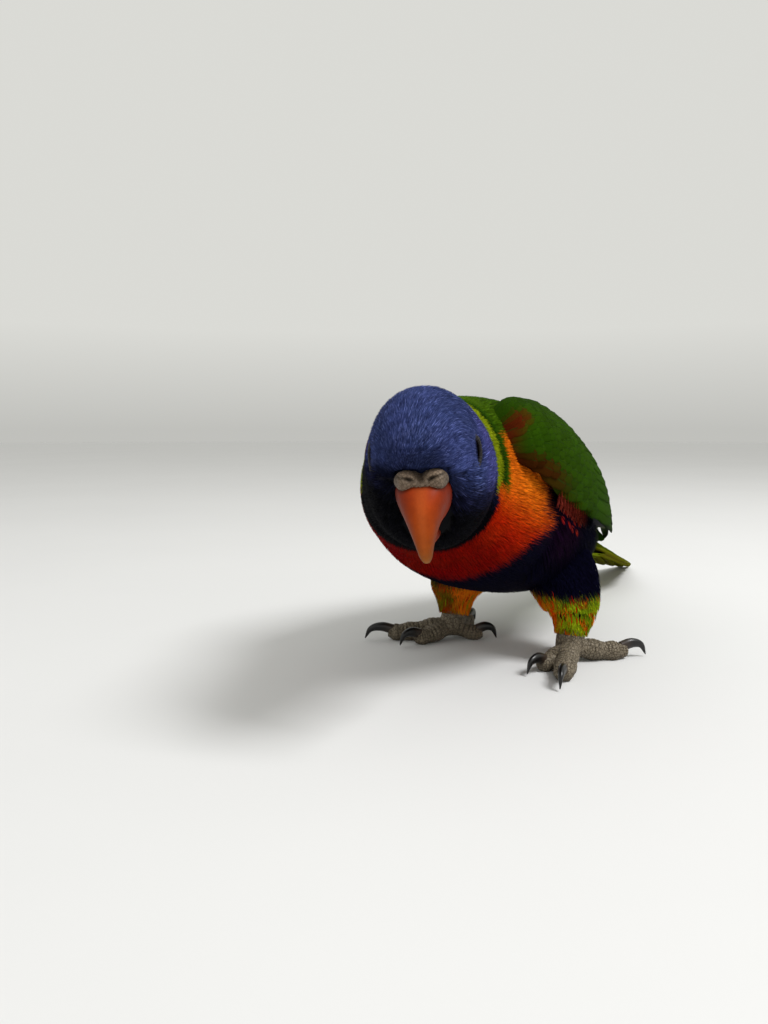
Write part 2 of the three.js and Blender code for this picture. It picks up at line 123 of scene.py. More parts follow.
def ease(value, start, end):
    """0 before start, 1 after end, and a smooth step between them."""
    w = np.clip((value - start) / (end - start), 0, 1)
    return w * w * (3 - 2 * w)


def hump(value, width):
    """1 where value is 0, and softly down to 0 beyond the width on both sides."""
    return np.exp(-((value / width) ** 2))


def mottled(where, first, second):
    """Soft patches from -1 to 1 in space, made by two waves that cross."""
    return np.sin(where @ np.array(first)) * np.sin(where @ np.array(second))


def unit(vectors):
    return vectors / np.maximum(np.linalg.norm(vectors, axis=-1, keepdims=True), 1e-9)


def pairs(first, second):
    """Every pair of two lists of values, as two long lists."""
    return (values.ravel() for values in np.meshgrid(first, second, indexing="ij"))


print("a quarter of the way from 0 over 1 to 4:", smooth([(0,), (1,), (4,)], np.array([0.25]))[0, 0])

# %% [markdown]
# The body's table runs from the rump over the back to the front of the skull. The head's rows are given
# forward of the skull's middle and above it, which is how a head is measured.

# %% The body's outline
HEAD = (-74, 61)  # middle of the skull, forward and up, before the neck is bent
HEAD_DOWN = math.radians(3)
FLOOR = 4  # height of the floor under the drawn bird


def head_point(f, u):
    """A place f in front of the skull's middle and u above it, as y and z."""
    c, s = math.cos(HEAD_DOWN), math.sin(HEAD_DOWN)
    return HEAD[0] - f * c - u * s, HEAD[1] - f * s + u * c


def head_row(top, bottom, wide, low):
    return (*head_point(*top), *head_point(*bottom), wide, low)


# Each row: top y and z, bottom y and z, half width, and how far below the middle it is widest.
BODY = [
    (76, 30.5, 76, 25.5, 5.5, 0), (67, 35, 66, 25, 9, 0), (58, 42.5, 56, 24.2, 12.5, 0),
    (48, 50, 44, 22.8, 16.2, 0), (37, 58.5, 31, 21.2, 20, 0.05), (24, 65, 17, 20.2, 23.2, 0.1),
    (10, 71.5, 2, 20.8, 25.2, 0.12), (-4, 76.4, -13, 23.2, 26, 0.12), (-17, 78.4, -28, 27, 25.6, 0.1),
    (-29, 79, -41, 32, 23.4, 0.1), (-39, 78.3, -50.5, 38, 20.4, 0.1), (-47, 78, -58, 42.5, 17.2, 0.08),
    head_row((-17, 17), (-10, -17.8), 15.2, 0.05), head_row((-9, 18.2), (-4, -18), 14.7, 0.05),
    head_row((-1, 18.4), (1, -17), 13.7, 0.05), head_row((6, 17.5), (5, -15.2), 12.3, 0.05),
    head_row((11.5, 15.6), (8.6, -12.8), 10.6, 0), head_row((15.5, 12.8), (11.4, -8.5), 8.7, -0.05),
    head_row((18.4, 9.6), (14.2, -3.5), 6.6, -0.1), head_row((20, 6.6), (16.4, 1), 5.2, -0.1),
    head_row((19.8, 5), (17.8, 3), 2.8, 0),
]
STATIONS = len(BODY) - 1


def profile(table, t, angle, fullness=0.92):
    """A place on a form drawn from its side. Angle 0 is its top, and its left side comes next."""
    rows = smooth(table, t)
    rise = rows[:, 0:2] - rows[:, 2:4]
    half = np.linalg.norm(rise, axis=1) / 2
    side, height = np.sin(angle), np.cos(angle)
    height = (height - rows[:, 5] * side**2) * half
    x = np.sign(side) * np.abs(side) ** fullness * rows[:, 4]
    middle = (rows[:, 0:2] + rows[:, 2:4]) / 2
    return np.column_stack([x, middle + unit(rise) * height[:, None]])


def body(t, angle):
    return profile(BODY, t, angle)


print("body stations:", len(BODY))

# %% [markdown]
# ## Bending the neck
# Every ring of the leaning body turns as one, more towards the head: the skull ends up turned to the bird's
# left and tilted. One function does that for every point of the bird, so skin, feathers, eyes and bill all
# stay together. The last step moves the bird to where the frame has it, read from the eye's node.

# %% From the drawn bird to the frame
LEAN = 0.25
NECK_BEND = (-61, -43)
HEAD_TURN, HEAD_TILT = math.radians(23), math.radians(4)
NECK = (-46, 60)
EYE = {"f": 6.0, "u": 4.2, "out": 7.9, "radius": 4.2}


def turned(points):
    place = points[:, 1] - LEAN * (points[:, 2] - NECK[1])
    share = 1 - ease(place, *NECK_BEND)
    tilt, turn = HEAD_TILT * share, HEAD_TURN * share
    x, y, z = points[:, 0], points[:, 1] - NECK[0], points[:, 2] - HEAD[1]
    level = x * np.cos(tilt) - z * np.sin(tilt)
    return np.column_stack([level * np.cos(turn) - y * np.sin(turn),
                            level * np.sin(turn) + y * np.cos(turn) + NECK[0],
                            x * np.sin(tilt) + z * np.cos(tilt) + HEAD[1]])


def on_head(f, u, out):
    return np.array([out, *head_point(f, u)])


eye_low, eye_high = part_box("eye_left")
eye_drawn = turned(on_head(EYE["f"], EYE["u"], EYE["out"])[None])[0]
SHIFT = np.array((eye_low + eye_high) / 2) / MM - eye_drawn


def placed(points):
    """Points of the drawn bird, in the frame and in metres."""
    return (turned(points) + SHIFT) * MM


print("the drawn bird moves by", SHIFT.round(2), "mm")

# %% [markdown]
# ## Closed tubes
# Almost every piece of this bird is a closed tube: a strand of down, a feather's flat vane, a toe, a claw,
# the bill. So one helper takes rings of points, joins them ring to ring, and closes each end with a fan. It
# also gives each corner a place in a unit square, round the tube and along it, for later use as a UV map.

# %% Join rings to closed tubes
def tube_pattern(rings, sides):
    """Triangles and corner places of one closed tube, whose two end points come last."""
    triangles, places = [], []
    start, end = rings * sides, rings * sides + 1
    for i in range(sides):
        j = (i + 1) % sides
        left, right_, mid = i / sides, (i + 1) / sides, (i + 0.5) / sides
        for r in range(rings - 1):
            a, b, c, d = r * sides + i, r * sides + j, (r + 1) * sides + i, (r + 1) * sides + j
            low, high = (r + 1) / (rings + 1), (r + 2) / (rings + 1)
            triangles += [(a, b, d), (a, d, c)]
            places += [((left, low), (right_, low), (right_, high)),
                       ((left, low), (right_, high), (left, high))]
        last = (rings - 1) * sides
        triangles += [(start, j, i), (end, last + i, last + j)]
        near, far = 1 / (rings + 1), rings / (rings + 1)
        places += [((mid, 0), (right_, near), (left, near)), ((mid, 1), (left, far), (right_, far))]
    return np.array(triangles), np.array(places)


def tubes(rings, starts=None, ends=None):
    """Points, triangles and corner places of many tubes. rings holds tubes, rings, sides and x, y, z.

    Without points for the two ends, the middles of the end rings close a tube.
    """
    count, along, sides = rings.shape[:3]
    starts = rings[:, 0].mean(1) if starts is None else starts
    ends = rings[:, -1].mean(1) if ends is None else ends
    points = np.concatenate([rings.reshape(count, -1, 3), starts[:, None], ends[:, None]], axis=1)
    triangles, places = tube_pattern(along, sides)
    first = points[0][triangles]
    if np.einsum("ij,ij->", first[:, 0], np.cross(first[:, 1], first[:, 2])) < 0:
        triangles, places = triangles[:, ::-1], places[:, ::-1]
    offsets = np.arange(count)[:, None, None] * points.shape[1]
    return points, triangles[None] + offsets, np.broadcast_to(places, (count, *places.shape))


def stacked(forms):
    """Several forms' points and triangles as one list of each."""
    points, triangles, first = [], [], 0
    for form_points, form_triangles in forms:
        points.append(form_points.reshape(-1, 3))
        triangles.append(form_triangles.reshape(-1, 3) + first)
        first += len(points[-1])
    return np.vstack(points), np.vstack(triangles)


print("a tube of 2 rings and 4 sides has", len(tube_pattern(2, 4)[0]), "triangles")


# %% [markdown]
# A piece is a mesh with its colours and maps. It rides on the bird's one body, and hides the nodes of the
# construction model that it stands for.

# %% Make a piece of the model
def mesh_of(name, points, triangles):
    mesh = bpy.data.meshes.new(name)
    mesh.vertices.add(len(points))
    mesh.vertices.foreach_set("co", np.ascontiguousarray(points, np.float32).ravel())
    mesh.loops.add(triangles.size)
    mesh.loops.foreach_set("vertex_index", np.ascontiguousarray(triangles, np.int32).ravel())
    mesh.polygons.add(len(triangles))
    mesh.polygons.foreach_set("loop_start", np.arange(0, triangles.size, 3, dtype=np.int32))
    mesh.update(calc_edges=True)
    mesh.shade_smooth()
    return mesh


def piece(name, points, triangles, material, slot, colours=None, uv=None, nodes=(), **extra):
    """A piece of the bird, in place, on its body, with its colours and its maps."""
    triangles = triangles.reshape(-1, 3)
    mesh = mesh_of(name, placed(points.reshape(-1, 3)), triangles)
    if colours is not None:
        rgba = np.ones((len(mesh.vertices), 4), np.float32)
        rgba[:, :3] = np.clip(colours.reshape(-1, 3), 0, 1)
        layer = mesh.color_attributes.new(name="Markings", type="FLOAT_COLOR", domain="POINT")
        layer.data.foreach_set("color", rgba.ravel())
    for title, places in {"OFBake": uv, **extra}.items():
        if places is not None:
            layer = mesh.uv_layers.new(name=title)
            layer.data.foreach_set("uv", np.ascontiguousarray(places, np.float32).ravel())
    mesh.materials.append(material)
    made = bpy.data.objects.new(name, mesh)
    bpy.context.scene.collection.objects.link(made)
    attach(made, "root")
    if nodes:
        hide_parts(*nodes)
    print(f"{name}: {len(triangles)} triangles")


print("helpers for pieces: mesh_of, piece")

# %% [markdown]
# ## Finishes that several materials share
# Feathers, horn and bare skin each need the same kind of small unevenness in more than one place. A shader
# node group is built once, with named inputs, and each material places it with its own values. A group gives
# out colours, masks and heights only; the Principled shader stays in the material.

# %% Helpers for nodes
def new_group(name, inputs, outputs):
    group = bpy.data.node_groups.new(name, "ShaderNodeTree")
    for title, kind, value in inputs:
        socket = group.interface.new_socket(title, in_out="INPUT", socket_type=kind)
        if value is not None:
            socket.default_value = value
    for title, kind in outputs:
        group.interface.new_socket(title, in_out="OUTPUT", socket_type=kind)
    return group, group.nodes.new("NodeGroupInput"), group.nodes.new("NodeGroupOutput")


def node(tree, kind, inputs=None, **settings):
    """A new node with its settings, and its inputs set to a value or joined to another node's socket."""
    made = tree.nodes.new(kind)
    for key, value in settings.items():
        setattr(made, key, value)
    for key, value in (inputs or {}).items():
        if isinstance(value, bpy.types.NodeSocket):
            tree.links.new(value, made.inputs[key])
        else:
            made.inputs[key].default_value = value
    return made


def calculated(tree, operation, *values):
    """The result of one operation on sockets and numbers."""
    return node(tree, "ShaderNodeMath", dict(enumerate(values)), operation=operation).outputs[0]


def remapped(tree, value, low, high, start=0.0, end=1.0):
    """The value from start to end, moved to run from low to high."""
    limits = {"Value": value, "From Min": start, "From Max": end, "To Min": low, "To Max": high}
    return node(tree, "ShaderNodeMapRange", limits).outputs[0]


def noise(tree, scale, detail=3.0, rough=0.6):
    place = node(tree, "ShaderNodeTexCoord").outputs["Object"]
    values = {"Vector": place, "Scale": scale, "Detail": detail, "Roughness": rough}
    return node(tree, "ShaderNodeTexNoise", values).outputs[0]


FLOAT, COLOUR = "NodeSocketFloat", "NodeSocketColor"
print("helpers for nodes: new_group, node, calculated, remapped, noise")

# %% [markdown]
# Four effects are enough for the whole bird. The first, feather tone, lets the marking colour drift a little
# over the body and flecks it finely.

# %% Feather tone
feather_tone, given, result = new_group(
    "Feather tone", [("Colour", COLOUR, None), ("Drift", FLOAT, 0.2), ("Fleck", FLOAT, 0.3)],
    [("Colour", COLOUR), ("Roughness", FLOAT)])
broad = noise(feather_tone, 90.0, 2.0)
fine = noise(feather_tone, 1400.0, 2.0)
centred = [calculated(feather_tone, "SUBTRACT", value, 0.5) for value in (broad, fine)]
drift, fleck = (calculated(feather_tone, "MULTIPLY", value, given.outputs[title])
                for value, title in zip(centred, ("Drift", "Fleck")))
total = calculated(feather_tone, "ADD", drift, fleck)
value = calculated(feather_tone, "MULTIPLY_ADD", total, 2.0, 1.0)
hue = calculated(feather_tone, "MULTIPLY_ADD", drift, 0.12, 0.5)
toned = node(feather_tone, "ShaderNodeHueSaturation",
             {"Color": given.outputs["Colour"], "Value": value, "Hue": hue})
matt = remapped(feather_tone, fine, 0.5, 0.8)
feather_tone.links.new(toned.outputs[0], result.inputs["Colour"])
feather_tone.links.new(matt, result.inputs["Roughness"])
print("group made:", feather_tone.name)

# %% [markdown]
# Barb ridges are the fine slanting lines on both sides of a feather's shaft. They are waves read from the
# vane's own map, which runs across the feather and along it.

# %% Barb ridges
barb_ridges, given, result = new_group(
    "Barb ridges", [("Lines", FLOAT, 60.0), ("Slant", FLOAT, 0.35)], [("Height", FLOAT), ("Shaft", FLOAT)])
vane_map = node(barb_ridges, "ShaderNodeUVMap", uv_map="Vane")
split = node(barb_ridges, "ShaderNodeSeparateXYZ", {0: vane_map.outputs[0]})
from_shaft = calculated(barb_ridges, "SUBTRACT", split.outputs[0], 0.5)
away = calculated(barb_ridges, "ABSOLUTE", from_shaft)
slanted = calculated(barb_ridges, "MULTIPLY", away, given.outputs["Slant"])
along = calculated(barb_ridges, "SUBTRACT", split.outputs[1], slanted)
phase = calculated(barb_ridges, "MULTIPLY", along, given.outputs["Lines"])
turns = calculated(barb_ridges, "MULTIPLY", phase, 2 * math.pi)
wave = calculated(barb_ridges, "SINE", turns)
shaft = remapped(barb_ridges, away, 1.0, 0.0, start=0.012, end=0.035)
barb_ridges.links.new(wave, result.inputs["Height"])
barb_ridges.links.new(shaft, result.inputs["Shaft"])
print("group made:", barb_ridges.name)

# %% [markdown]
# Small scales are cells with creases between them, for the toes, the cere and the eye rings.

# %% Small scales
small_scales, given, result = new_group(
    "Small scales", [("Size", FLOAT, 900.0), ("Depth", FLOAT, 1.0)], [("Height", FLOAT), ("Crease", FLOAT)])
place = node(small_scales, "ShaderNodeTexCoord").outputs["Object"]
cells = node(small_scales, "ShaderNodeTexVoronoi", {"Vector": place, "Scale": given.outputs["Size"]},
             feature="DISTANCE_TO_EDGE")
crease = remapped(small_scales, cells.outputs["Distance"], 1.0, 0.0, end=0.12)
speck = noise(small_scales, 2600.0)
raised = calculated(small_scales, "SUBTRACT", 1.0, crease)
rough = calculated(small_scales, "MULTIPLY_ADD", speck, 0.35, raised)
deep = calculated(small_scales, "MULTIPLY", rough, given.outputs["Depth"])
small_scales.links.new(deep, result.inputs["Height"])
small_scales.links.new(crease, result.inputs["Crease"])
print("group made:", small_scales.name)

# %% [markdown]
# Horn grain is faint growth lines and pits, for the bill and the claws. It also makes the rays of the iris.

# %% Horn grain
horn_grain, given, result = new_group(
    "Horn grain", [("Fineness", FLOAT, 500.0)], [("Mask", FLOAT), ("Height", FLOAT)])
streak = noise(horn_grain, given.outputs["Fineness"], 4.0, 0.65)
pits = noise(horn_grain, 3800.0, 2.0)
both = calculated(horn_grain, "MULTIPLY_ADD", pits, 0.3, streak)
horn_grain.links.new(streak, result.inputs["Mask"])
horn_grain.links.new(both, result.inputs["Height"])
print("group made:", horn_grain.name)

# %% [markdown]
# ## Colours and materials
# Colours are easiest to choose as they look on a screen, from 0 to 255. The shader works in linear light,
# so one helper turns them over. Markings lie on the mesh itself, so every material starts by reading them.

# %% Screen colours to linear light
def linear(*screen):
    c = np.array(screen, float) / 255
    return np.where(c <= 0.04045, c / 12.92, ((c + 0.055) / 1.055) ** 2.4)


def new_material(name, **sockets):
    """A material with its Principled shader. Values that hold all over it are set on the shader itself."""
    made = bpy.data.materials.new(name)
    made.use_nodes = True
    shader = made.node_tree.nodes["Principled BSDF"]
    for key, value in sockets.items():
        shader.inputs[key.replace("_", " ")].default_value = value
    return made, made.node_tree, shader


def group_node(tree, group, **values):
    made = tree.nodes.new("ShaderNodeGroup")
    made.node_tree = group
    for key, value in values.items():
        made.inputs[key].default_value = value
    return made


def bump(tree, shader, height, distance, strength=1.0):
    made = node(tree, "ShaderNodeBump", {"Height": height, "Distance": distance, "Strength": strength})
    tree.links.new(made.outputs[0], shader.inputs["Normal"])


def markings(tree):
    """The colours that the mesh carries."""
    return node(tree, "ShaderNodeVertexColor", layer_name="Markings").outputs[0]


print("black, mid grey and white in linear light:", [round(float(linear(v)[0]), 2) for v in (0, 128, 255)])

# %% [markdown]
# Feathers come in two kinds. Soft ones only have their tone, and hardly any gloss. Stiff ones also show
# their barbs and a shaft.

# %% Feather materials
def feather_material(name, drift, fleck, **sockets):
    """Feathers take the markings that their mesh carries, with hardly any gloss."""
    made, tree, shader = new_material(name, **sockets)
    marks = markings(tree)
    tone = group_node(tree, feather_tone, Drift=drift, Fleck=fleck)
    tree.links.new(marks, tone.inputs["Colour"])
    tree.links.new(tone.outputs["Colour"], shader.inputs["Base Color"])
    tree.links.new(tone.outputs["Roughness"], shader.inputs["Roughness"])
    return made, tree, shader


down = feather_material("soft_feathers", 0.12, 0.14, Specular_IOR_Level=0.01)[0]
under_skin = feather_material("skin_under_feathers", 0.2, 0.3, Specular_IOR_Level=0.05)[0]


def vane_material(name, lines, shaft_colour):
    """Stiff feathers also show the ridges of their barbs and a shaft."""
    made, tree, shader = feather_material(name, 0.16, 0.14, Specular_IOR_Level=0.005)
    ridges = group_node(tree, barb_ridges, Lines=lines)
    colour = shader.inputs["Base Color"].links[0].from_socket
    shade = node(tree, "ShaderNodeMix", {"Factor": ridges.outputs["Shaft"]}, data_type="RGBA")
    tree.links.new(colour, shade.inputs[6])
    shade.inputs[7].default_value = (*shaft_colour, 1)
    tree.links.new(shade.outputs[2], shader.inputs["Base Color"])
    bump(tree, shader, ridges.outputs["Height"], 0.00004, 0.6)
    return made


wing_vanes = vane_material("wing_feathers", 70.0, linear(30, 52, 14))
tail_vanes = vane_material("tail_feathers", 160.0, linear(52, 46, 18))
print("feather materials:", [made.name for made in (down, under_skin, wing_vanes, tail_vanes)])

# %% [markdown]
# The bare parts need two more functions: one for skin with small scales, and one for horn and eyes.

# %% Materials for bare skin and horn
def scaled_material(name, size, crease_shade_colour, rough, depth, strength, **sockets):
    """Bare skin, darkened with painted shade in the creases between its small scales."""
    made, tree, shader = new_material(name, **sockets)
    marks = markings(tree)
    scales = group_node(tree, small_scales, Size=size)
    # Painted shade in the creases.
    creased = node(tree, "ShaderNodeMix", {"Factor": scales.outputs["Crease"]}, data_type="RGBA",
                   blend_type="MULTIPLY")
    tree.links.new(marks, creased.inputs[6])
    creased.inputs[7].default_value = (*crease_shade_colour, 1)
    tree.links.new(creased.outputs[2], shader.inputs["Base Color"])
    tree.links.new(remapped(tree, scales.outputs["Height"], *rough), shader.inputs["Roughness"])
    bump(tree, shader, scales.outputs["Height"], depth, strength)
    return made


def grained_material(name, fineness, tone, rough=None, depth=0.0, strength=0.0, **sockets):
    """Horn, or an iris: lighter and darker by a fine grain. With rough, its polish and relief vary too."""
    made, tree, shader = new_material(name, **sockets)
    marks = markings(tree)
    grain = group_node(tree, horn_grain, Fineness=fineness)
    lines = remapped(tree, grain.outputs["Mask"], *tone)
    shade = node(tree, "ShaderNodeHueSaturation", {"Color": marks, "Value": lines})
    tree.links.new(shade.outputs[0], shader.inputs["Base Color"])
    if rough:
        tree.links.new(remapped(tree, grain.outputs["Mask"], *rough), shader.inputs["Roughness"])
        bump(tree, shader, grain.outputs["Height"], depth, strength)
    return made


print("materials so far:", len(bpy.data.materials))

# %% [markdown]
# ## The markings
# The bird's colours are a map over its body. The head is violet-blue and turns black round the throat. Its
# borders are planes through the skull, a little aslant, so the navy and black reach higher on the bird's
# right
# cheek: partly its marking, and partly painted shade on that side of the face.

# %% Inks and the head's markings
INK = {
    "crown": linear(56, 67, 115), "violet": linear(64, 64, 126), "navy": linear(23, 25, 50),
    "black": linear(8, 8, 13), "lime": linear(138, 152, 20), "green": linear(54, 88, 8),
    "deep_green": linear(22, 50, 4), "orange": linear(238, 120, 20), "flame": linear(196, 44, 5),
    "red": linear(132, 11, 3), "belly": linear(10, 9, 30), "plum": linear(30, 8, 34),
    "vent": linear(126, 142, 16), "rose": linear(206, 50, 36), "gold": linear(214, 150, 26),
    "brown_red": linear(112, 30, 14), "streak": linear(150, 156, 208), "salmon": linear(190, 78, 58),
    "olive": linear(104, 98, 12), "dark_olive": linear(44, 36, 8),
}


def mixed(base, ink, share):
    """An ink, by its name or as a colour, laid over a base by a share from 0 to 1."""
    ink = INK[ink] if isinstance(ink, str) else ink
    return base + (ink - base) * np.clip(share, 0, 1)[..., None]


def plain(ink, places):
    """The same colour for every place."""
    return np.tile(INK[ink], (len(places), 1))


def head_place(points):
    """How far forward of the skull's middle, and above it, each point lies."""
    y, z = HEAD[0] - points[:, 1], points[:, 2] - HEAD[1]
    c, s = math.cos(HEAD_DOWN), math.sin(HEAD_DOWN)
    return c * y - s * z, s * y + c * z


def head_markings(where):
    """The head's colours by place. Their borders lie aslant, higher on the bird's right cheek, partly painted
    shade.
    """
    f, u = head_place(where)
    # Tilted borders: the face's navy and black rise on the bird's right side, partly marking and partly
    # painted shade.
    height = u + 0.3 * where[:, 0]
    mottle = mottled(where, (0.9, 0.7, -0.5), (-0.6, 1.1, 0.8))
    head = INK["crown"] * (1 - 0.22 * np.clip(mottle, -0.4, 1))[:, None]
    head = mixed(head, "violet", ease(np.abs(where[:, 0]), 6, 12) * (1 - ease(f, -8, 8)) * 0.8)
    head = mixed(head, "navy", 1 - ease(height, -3, 1.8))
    head = mixed(head, "navy", 0.25 * ease(f, 15, 19))
    head = mixed(head, "black", 1 - ease(height, -7, -2.8))
    return mixed(head, "black", 0.8 * ease(f, 10, 14) * (1 - ease(height, 0, 2.4)))


print("inks:", len(INK))

# %% [markdown]
# Behind the head come a lime-yellow collar, a green back, an orange and red breast, and a blue-black belly.
# Each border is a line on the body's own stations and angles, softened a little. Skin and feathers both ask
# this one function.

# %% The body's markings
# Where the belly's front edge lies: degrees down from the ridge of the back, and the station there.
BELLY_EDGE = ([70, 90, 99, 116, 132, 156, 180], [8.5, 8.45, 8.2, 8.8, 8.95, 9.05, 8.85])


def body_markings(t, angle):
    """The colour at places on the body, by station and by degrees down from the ridge of the back."""
    station = t * STATIONS
    down_side = np.abs(np.degrees((angle + np.pi) % (2 * np.pi) - np.pi))
    colour = mixed(plain("green", t), "deep_green", 0.4 * (1 - ease(station, 1, 4)))
    colour = mixed(colour, "vent", 0.1 * ease(station, 8, 10) * (1 - ease(down_side, 30, 60)))
    colour *= (1 + 0.25 * ease(station, 8, 10) * (1 - ease(down_side, 40, 56)))[:, None]
    breast = ease(down_side, 50, 56) * ease(station, 4, 5.5)
    colour = mixed(colour, "orange", breast)
    colour = mixed(colour, "flame", breast * ease(down_side, 82, 114))
    colour = mixed(colour, "red", breast * ease(down_side, 108, 148))
    edge = np.interp(down_side, *BELLY_EDGE)
    belly = (1 - ease(station, edge - 0.14, edge + 0.14)) * ease(down_side, 72, 80)
    colour = mixed(colour, "belly", belly)
    colour = mixed(colour, "plum", belly * ease(station, 6.5, 7.4) * (1 - ease(down_side, 96, 124)))
    flank = (1 - ease(down_side, 94, 99)) * ease(down_side, 74, 78) * ease(station, 6.6, 7.4)
    flank *= 1 - ease(station, 8.5, 8.9)
    colour = mixed(colour, "plum", flank * 0.85)
    colour = mixed(colour, "vent", (1 - ease(station, 3.8, 5.2)) * ease(down_side, 84, 100))
    colour = mixed(colour, "green", ease(station, 10.12, 10.2) * (1 - ease(down_side, 90, 96)))
    colour = mixed(colour, "deep_green", 0.7 * ease(station, 10.3, 10.38) * (1 - ease(down_side, 90, 96)))
    taper = 10.52 + 0.3 * ease(down_side, 80, 104)
    colour = mixed(colour, "lime", ease(station, taper, taper + 0.06) * (1 - ease(down_side, 98, 104)))
    hood_from = np.where(down_side < 98, 10.98, 10.55 + 0.43 * (1 - ease(down_side, 98, 106)))
    hood = ease(station, hood_from - 0.05, hood_from + 0.05)
    return mixed(colour, head_markings(body(t, angle)), hood)


print("the breast's colour:", body_markings(np.array([0.45]), np.array([2.4]))[0].round(3))

# %% [markdown]
# ## Sowing feathers evenly
# A feather grows wherever there is skin, so roots have to be spread by area, not by the table's stations.
# A low-discrepancy sequence gives places that never clump and never line up. It is laid over a map of how
# much skin each small cell of the body has, and how thickly that region is feathered.

# %% Even places on a surface
# How many tufts grow on each side, by region.
TUFTS = {"crown": 1900, "head": 2100, "neck_breast": 3250, "belly_back": 2900, "thigh": 950, "flank": 260,
         "specks": 14, "bend": 560, "lining": 250}
STRIDES = (0.7548776662, 0.5698402910)  # steps that fill a square evenly, one along it and one across
SCATTER = (977, 983)  # primes, which spread the places within their cells


def frame_on(surface, t, angle, step=2e-3):
    """Each place with how fast the surface runs along and round it, and the way out of it."""
    across = (surface(t, angle + step) - surface(t, angle - step)) / (2 * step)
    ahead, behind = np.minimum(t + step, 1), np.maximum(t - step, 0)
    length = (surface(ahead, angle) - surface(behind, angle)) / (ahead - behind)[:, None]
    return surface(t, angle), length, across, unit(np.cross(length, across))


def sow(surface, count, spans, density=None, cells=(260, 200)):
    """count places (t, angle) within spans, spread by the skin's area, times a density if one is given."""
    (t0, t1), (a0, a1) = spans
    t = t0 + (np.arange(cells[0]) + 0.5) / cells[0] * (t1 - t0)
    a = a0 + (np.arange(cells[1]) + 0.5) / cells[1] * (a1 - a0)
    grid_t, grid_a = pairs(t, a)
    where, length, across, _ = frame_on(surface, grid_t, grid_a)
    weight = np.linalg.norm(np.cross(length, across), axis=1)
    if density is not None:
        weight = weight * density(grid_t, grid_a, where)
    total = np.cumsum(weight)
    rows = total.reshape(cells)[:, -1]
    number = np.arange(count)
    first, second = ((0.5 + stride * number) % 1 for stride in STRIDES)
    row = np.minimum(np.searchsorted(rows, first * rows[-1]), cells[0] - 1)
    below = np.where(row > 0, rows[row - 1], 0)
    spot = np.minimum(np.searchsorted(total, below + second * (rows[row] - below)), len(total) - 1)
    inside = (first * SCATTER[0]) % 1, (second * SCATTER[1]) % 1
    cell_t, cell_a = (t1 - t0) / cells[0], (a1 - a0) / cells[1]
    return grid_t[spot] + (inside[0] - 0.5) * cell_t, grid_a[spot] + (inside[1] - 0.5) * cell_a


def one_side(side, top, low):
    """The angles from top to low on one side of the body."""
    return tuple(sorted((side * top, side * low)))


print("tufts on both sides:", 2 * sum(TUFTS.values()))

# %% [markdown]
# ## A tuft
# One small feather is a fan of strands from one root. It lies along the surface towards the tail, lifts a
# little off it, spreads in the middle and draws in at a rounded tip. Each strand is a closed spindle of
# twelve triangles, so it holds up from any side and shades softly.

# %% Tufts over a surface
STRANDS = 5
ROUND_OFF = 0.22  # how much shorter a tuft's outermost strands are
# Four places along each strand: where they are, how far the fan has spread there, and how far it has risen.
FAN = {"at": (0.0, 0.34, 0.7, 1.0), "spread": (0.1, 0.7, 1.0, 0.92), "lift": (0.0, 0.45, 0.8, 1.0)}
STRAND_TONE = np.array([0.8] * 3 + [1.0] * 3 + [0.5, 1.1])  # of its two rings, its root and its tip


def tufts(surface, t, angle, size, ink, *, flow=-1, lift=(-1.3, 0.1), stray=0.06, sweep=0.0, paint=None):
    """size gives each tuft's length, half width and strand's half width. ink(t, angle) is its colour.

    flow is 1 or -1, the way along the surface. lift holds the heights of root and tip over the surface.
    stray scatters the strands' ways, and sweep turns all of them. paint can change the strands' colours.
    """
    long, wide, thick = (np.broadcast_to(s, t.shape)[:, None] for s in size)
    _, length, across, out = frame_on(surface, t, angle)
    speed = np.linalg.norm(length, axis=1)[:, None]
    girth = np.maximum(np.linalg.norm(across, axis=1), 1.5)[:, None]
    lane = np.linspace(-1, 1, STRANDS)[None] + chance.normal(0, 0.12, (len(t), STRANDS))
    slip = chance.normal(0, stray, (len(t), 1)) + chance.normal(0, stray / 2, (len(t), STRANDS))
    slip = slip + np.broadcast_to(sweep, t.shape)[:, None]
    reach = long * (1 - ROUND_OFF * lane**2) * chance.uniform(0.86, 1.1, (len(t), STRANDS))
    rise = lift[0] + chance.uniform(-0.1, 0.12, (len(t), STRANDS))
    top = lift[1] + chance.uniform(-0.2, 0.2, (len(t), STRANDS))
    line = []
    for at, spread, lifted in zip(*FAN.values()):
        run = reach * at
        place_t = (t[:, None] + flow * run / speed).ravel()
        place_a = (angle[:, None] + (wide * lane * spread + slip * run) / girth).ravel()
        spot = surface(np.clip(place_t, 0, 1), place_a).reshape(len(t), STRANDS, 3)
        line.append(spot + out[:, None] * (rise + (top - rise) * lifted)[..., None])
    line = np.stack(line, axis=2).reshape(-1, 4, 3)
    ways = unit(line[:, 2] - line[:, 0])
    normal = np.repeat(out, STRANDS, axis=0)
    beside = unit(np.cross(normal, ways))
    girths = np.repeat(thick, STRANDS, axis=1).ravel()[:, None]
    corners = np.stack([beside, normal * 0.5, -beside], axis=1)
    rings = np.stack([line[:, k, None] + corners * (girths * w)[:, None] for k, w in ((1, 1.0), (2, 0.85))],
                     axis=1)
    points, triangles, places = tubes(rings, line[:, 0], line[:, 3])
    seen_t = np.clip(t + np.ravel(flow) * long[:, 0] * 0.6 / speed[:, 0], 0, 1)
    base = np.repeat(ink(seen_t, angle), STRANDS, axis=0)
    if paint is not None:
        base = paint(base, lane.ravel(), np.repeat(chance.uniform(0, 1, len(t)), STRANDS))
    base = base * chance.uniform(0.84, 1.16, (len(base), 1))
    return points, triangles, places, base[:, None] * STRAND_TONE[None, :, None]


print("a strand has", len(tube_pattern(2, 3)[0]), "triangles")

# %% [markdown]
# Strands are too many for maps of their own. Each tuft gets one small patch of the bake's map, where its
# root lies when the skin is unrolled flat, so the baked colours still follow the markings.

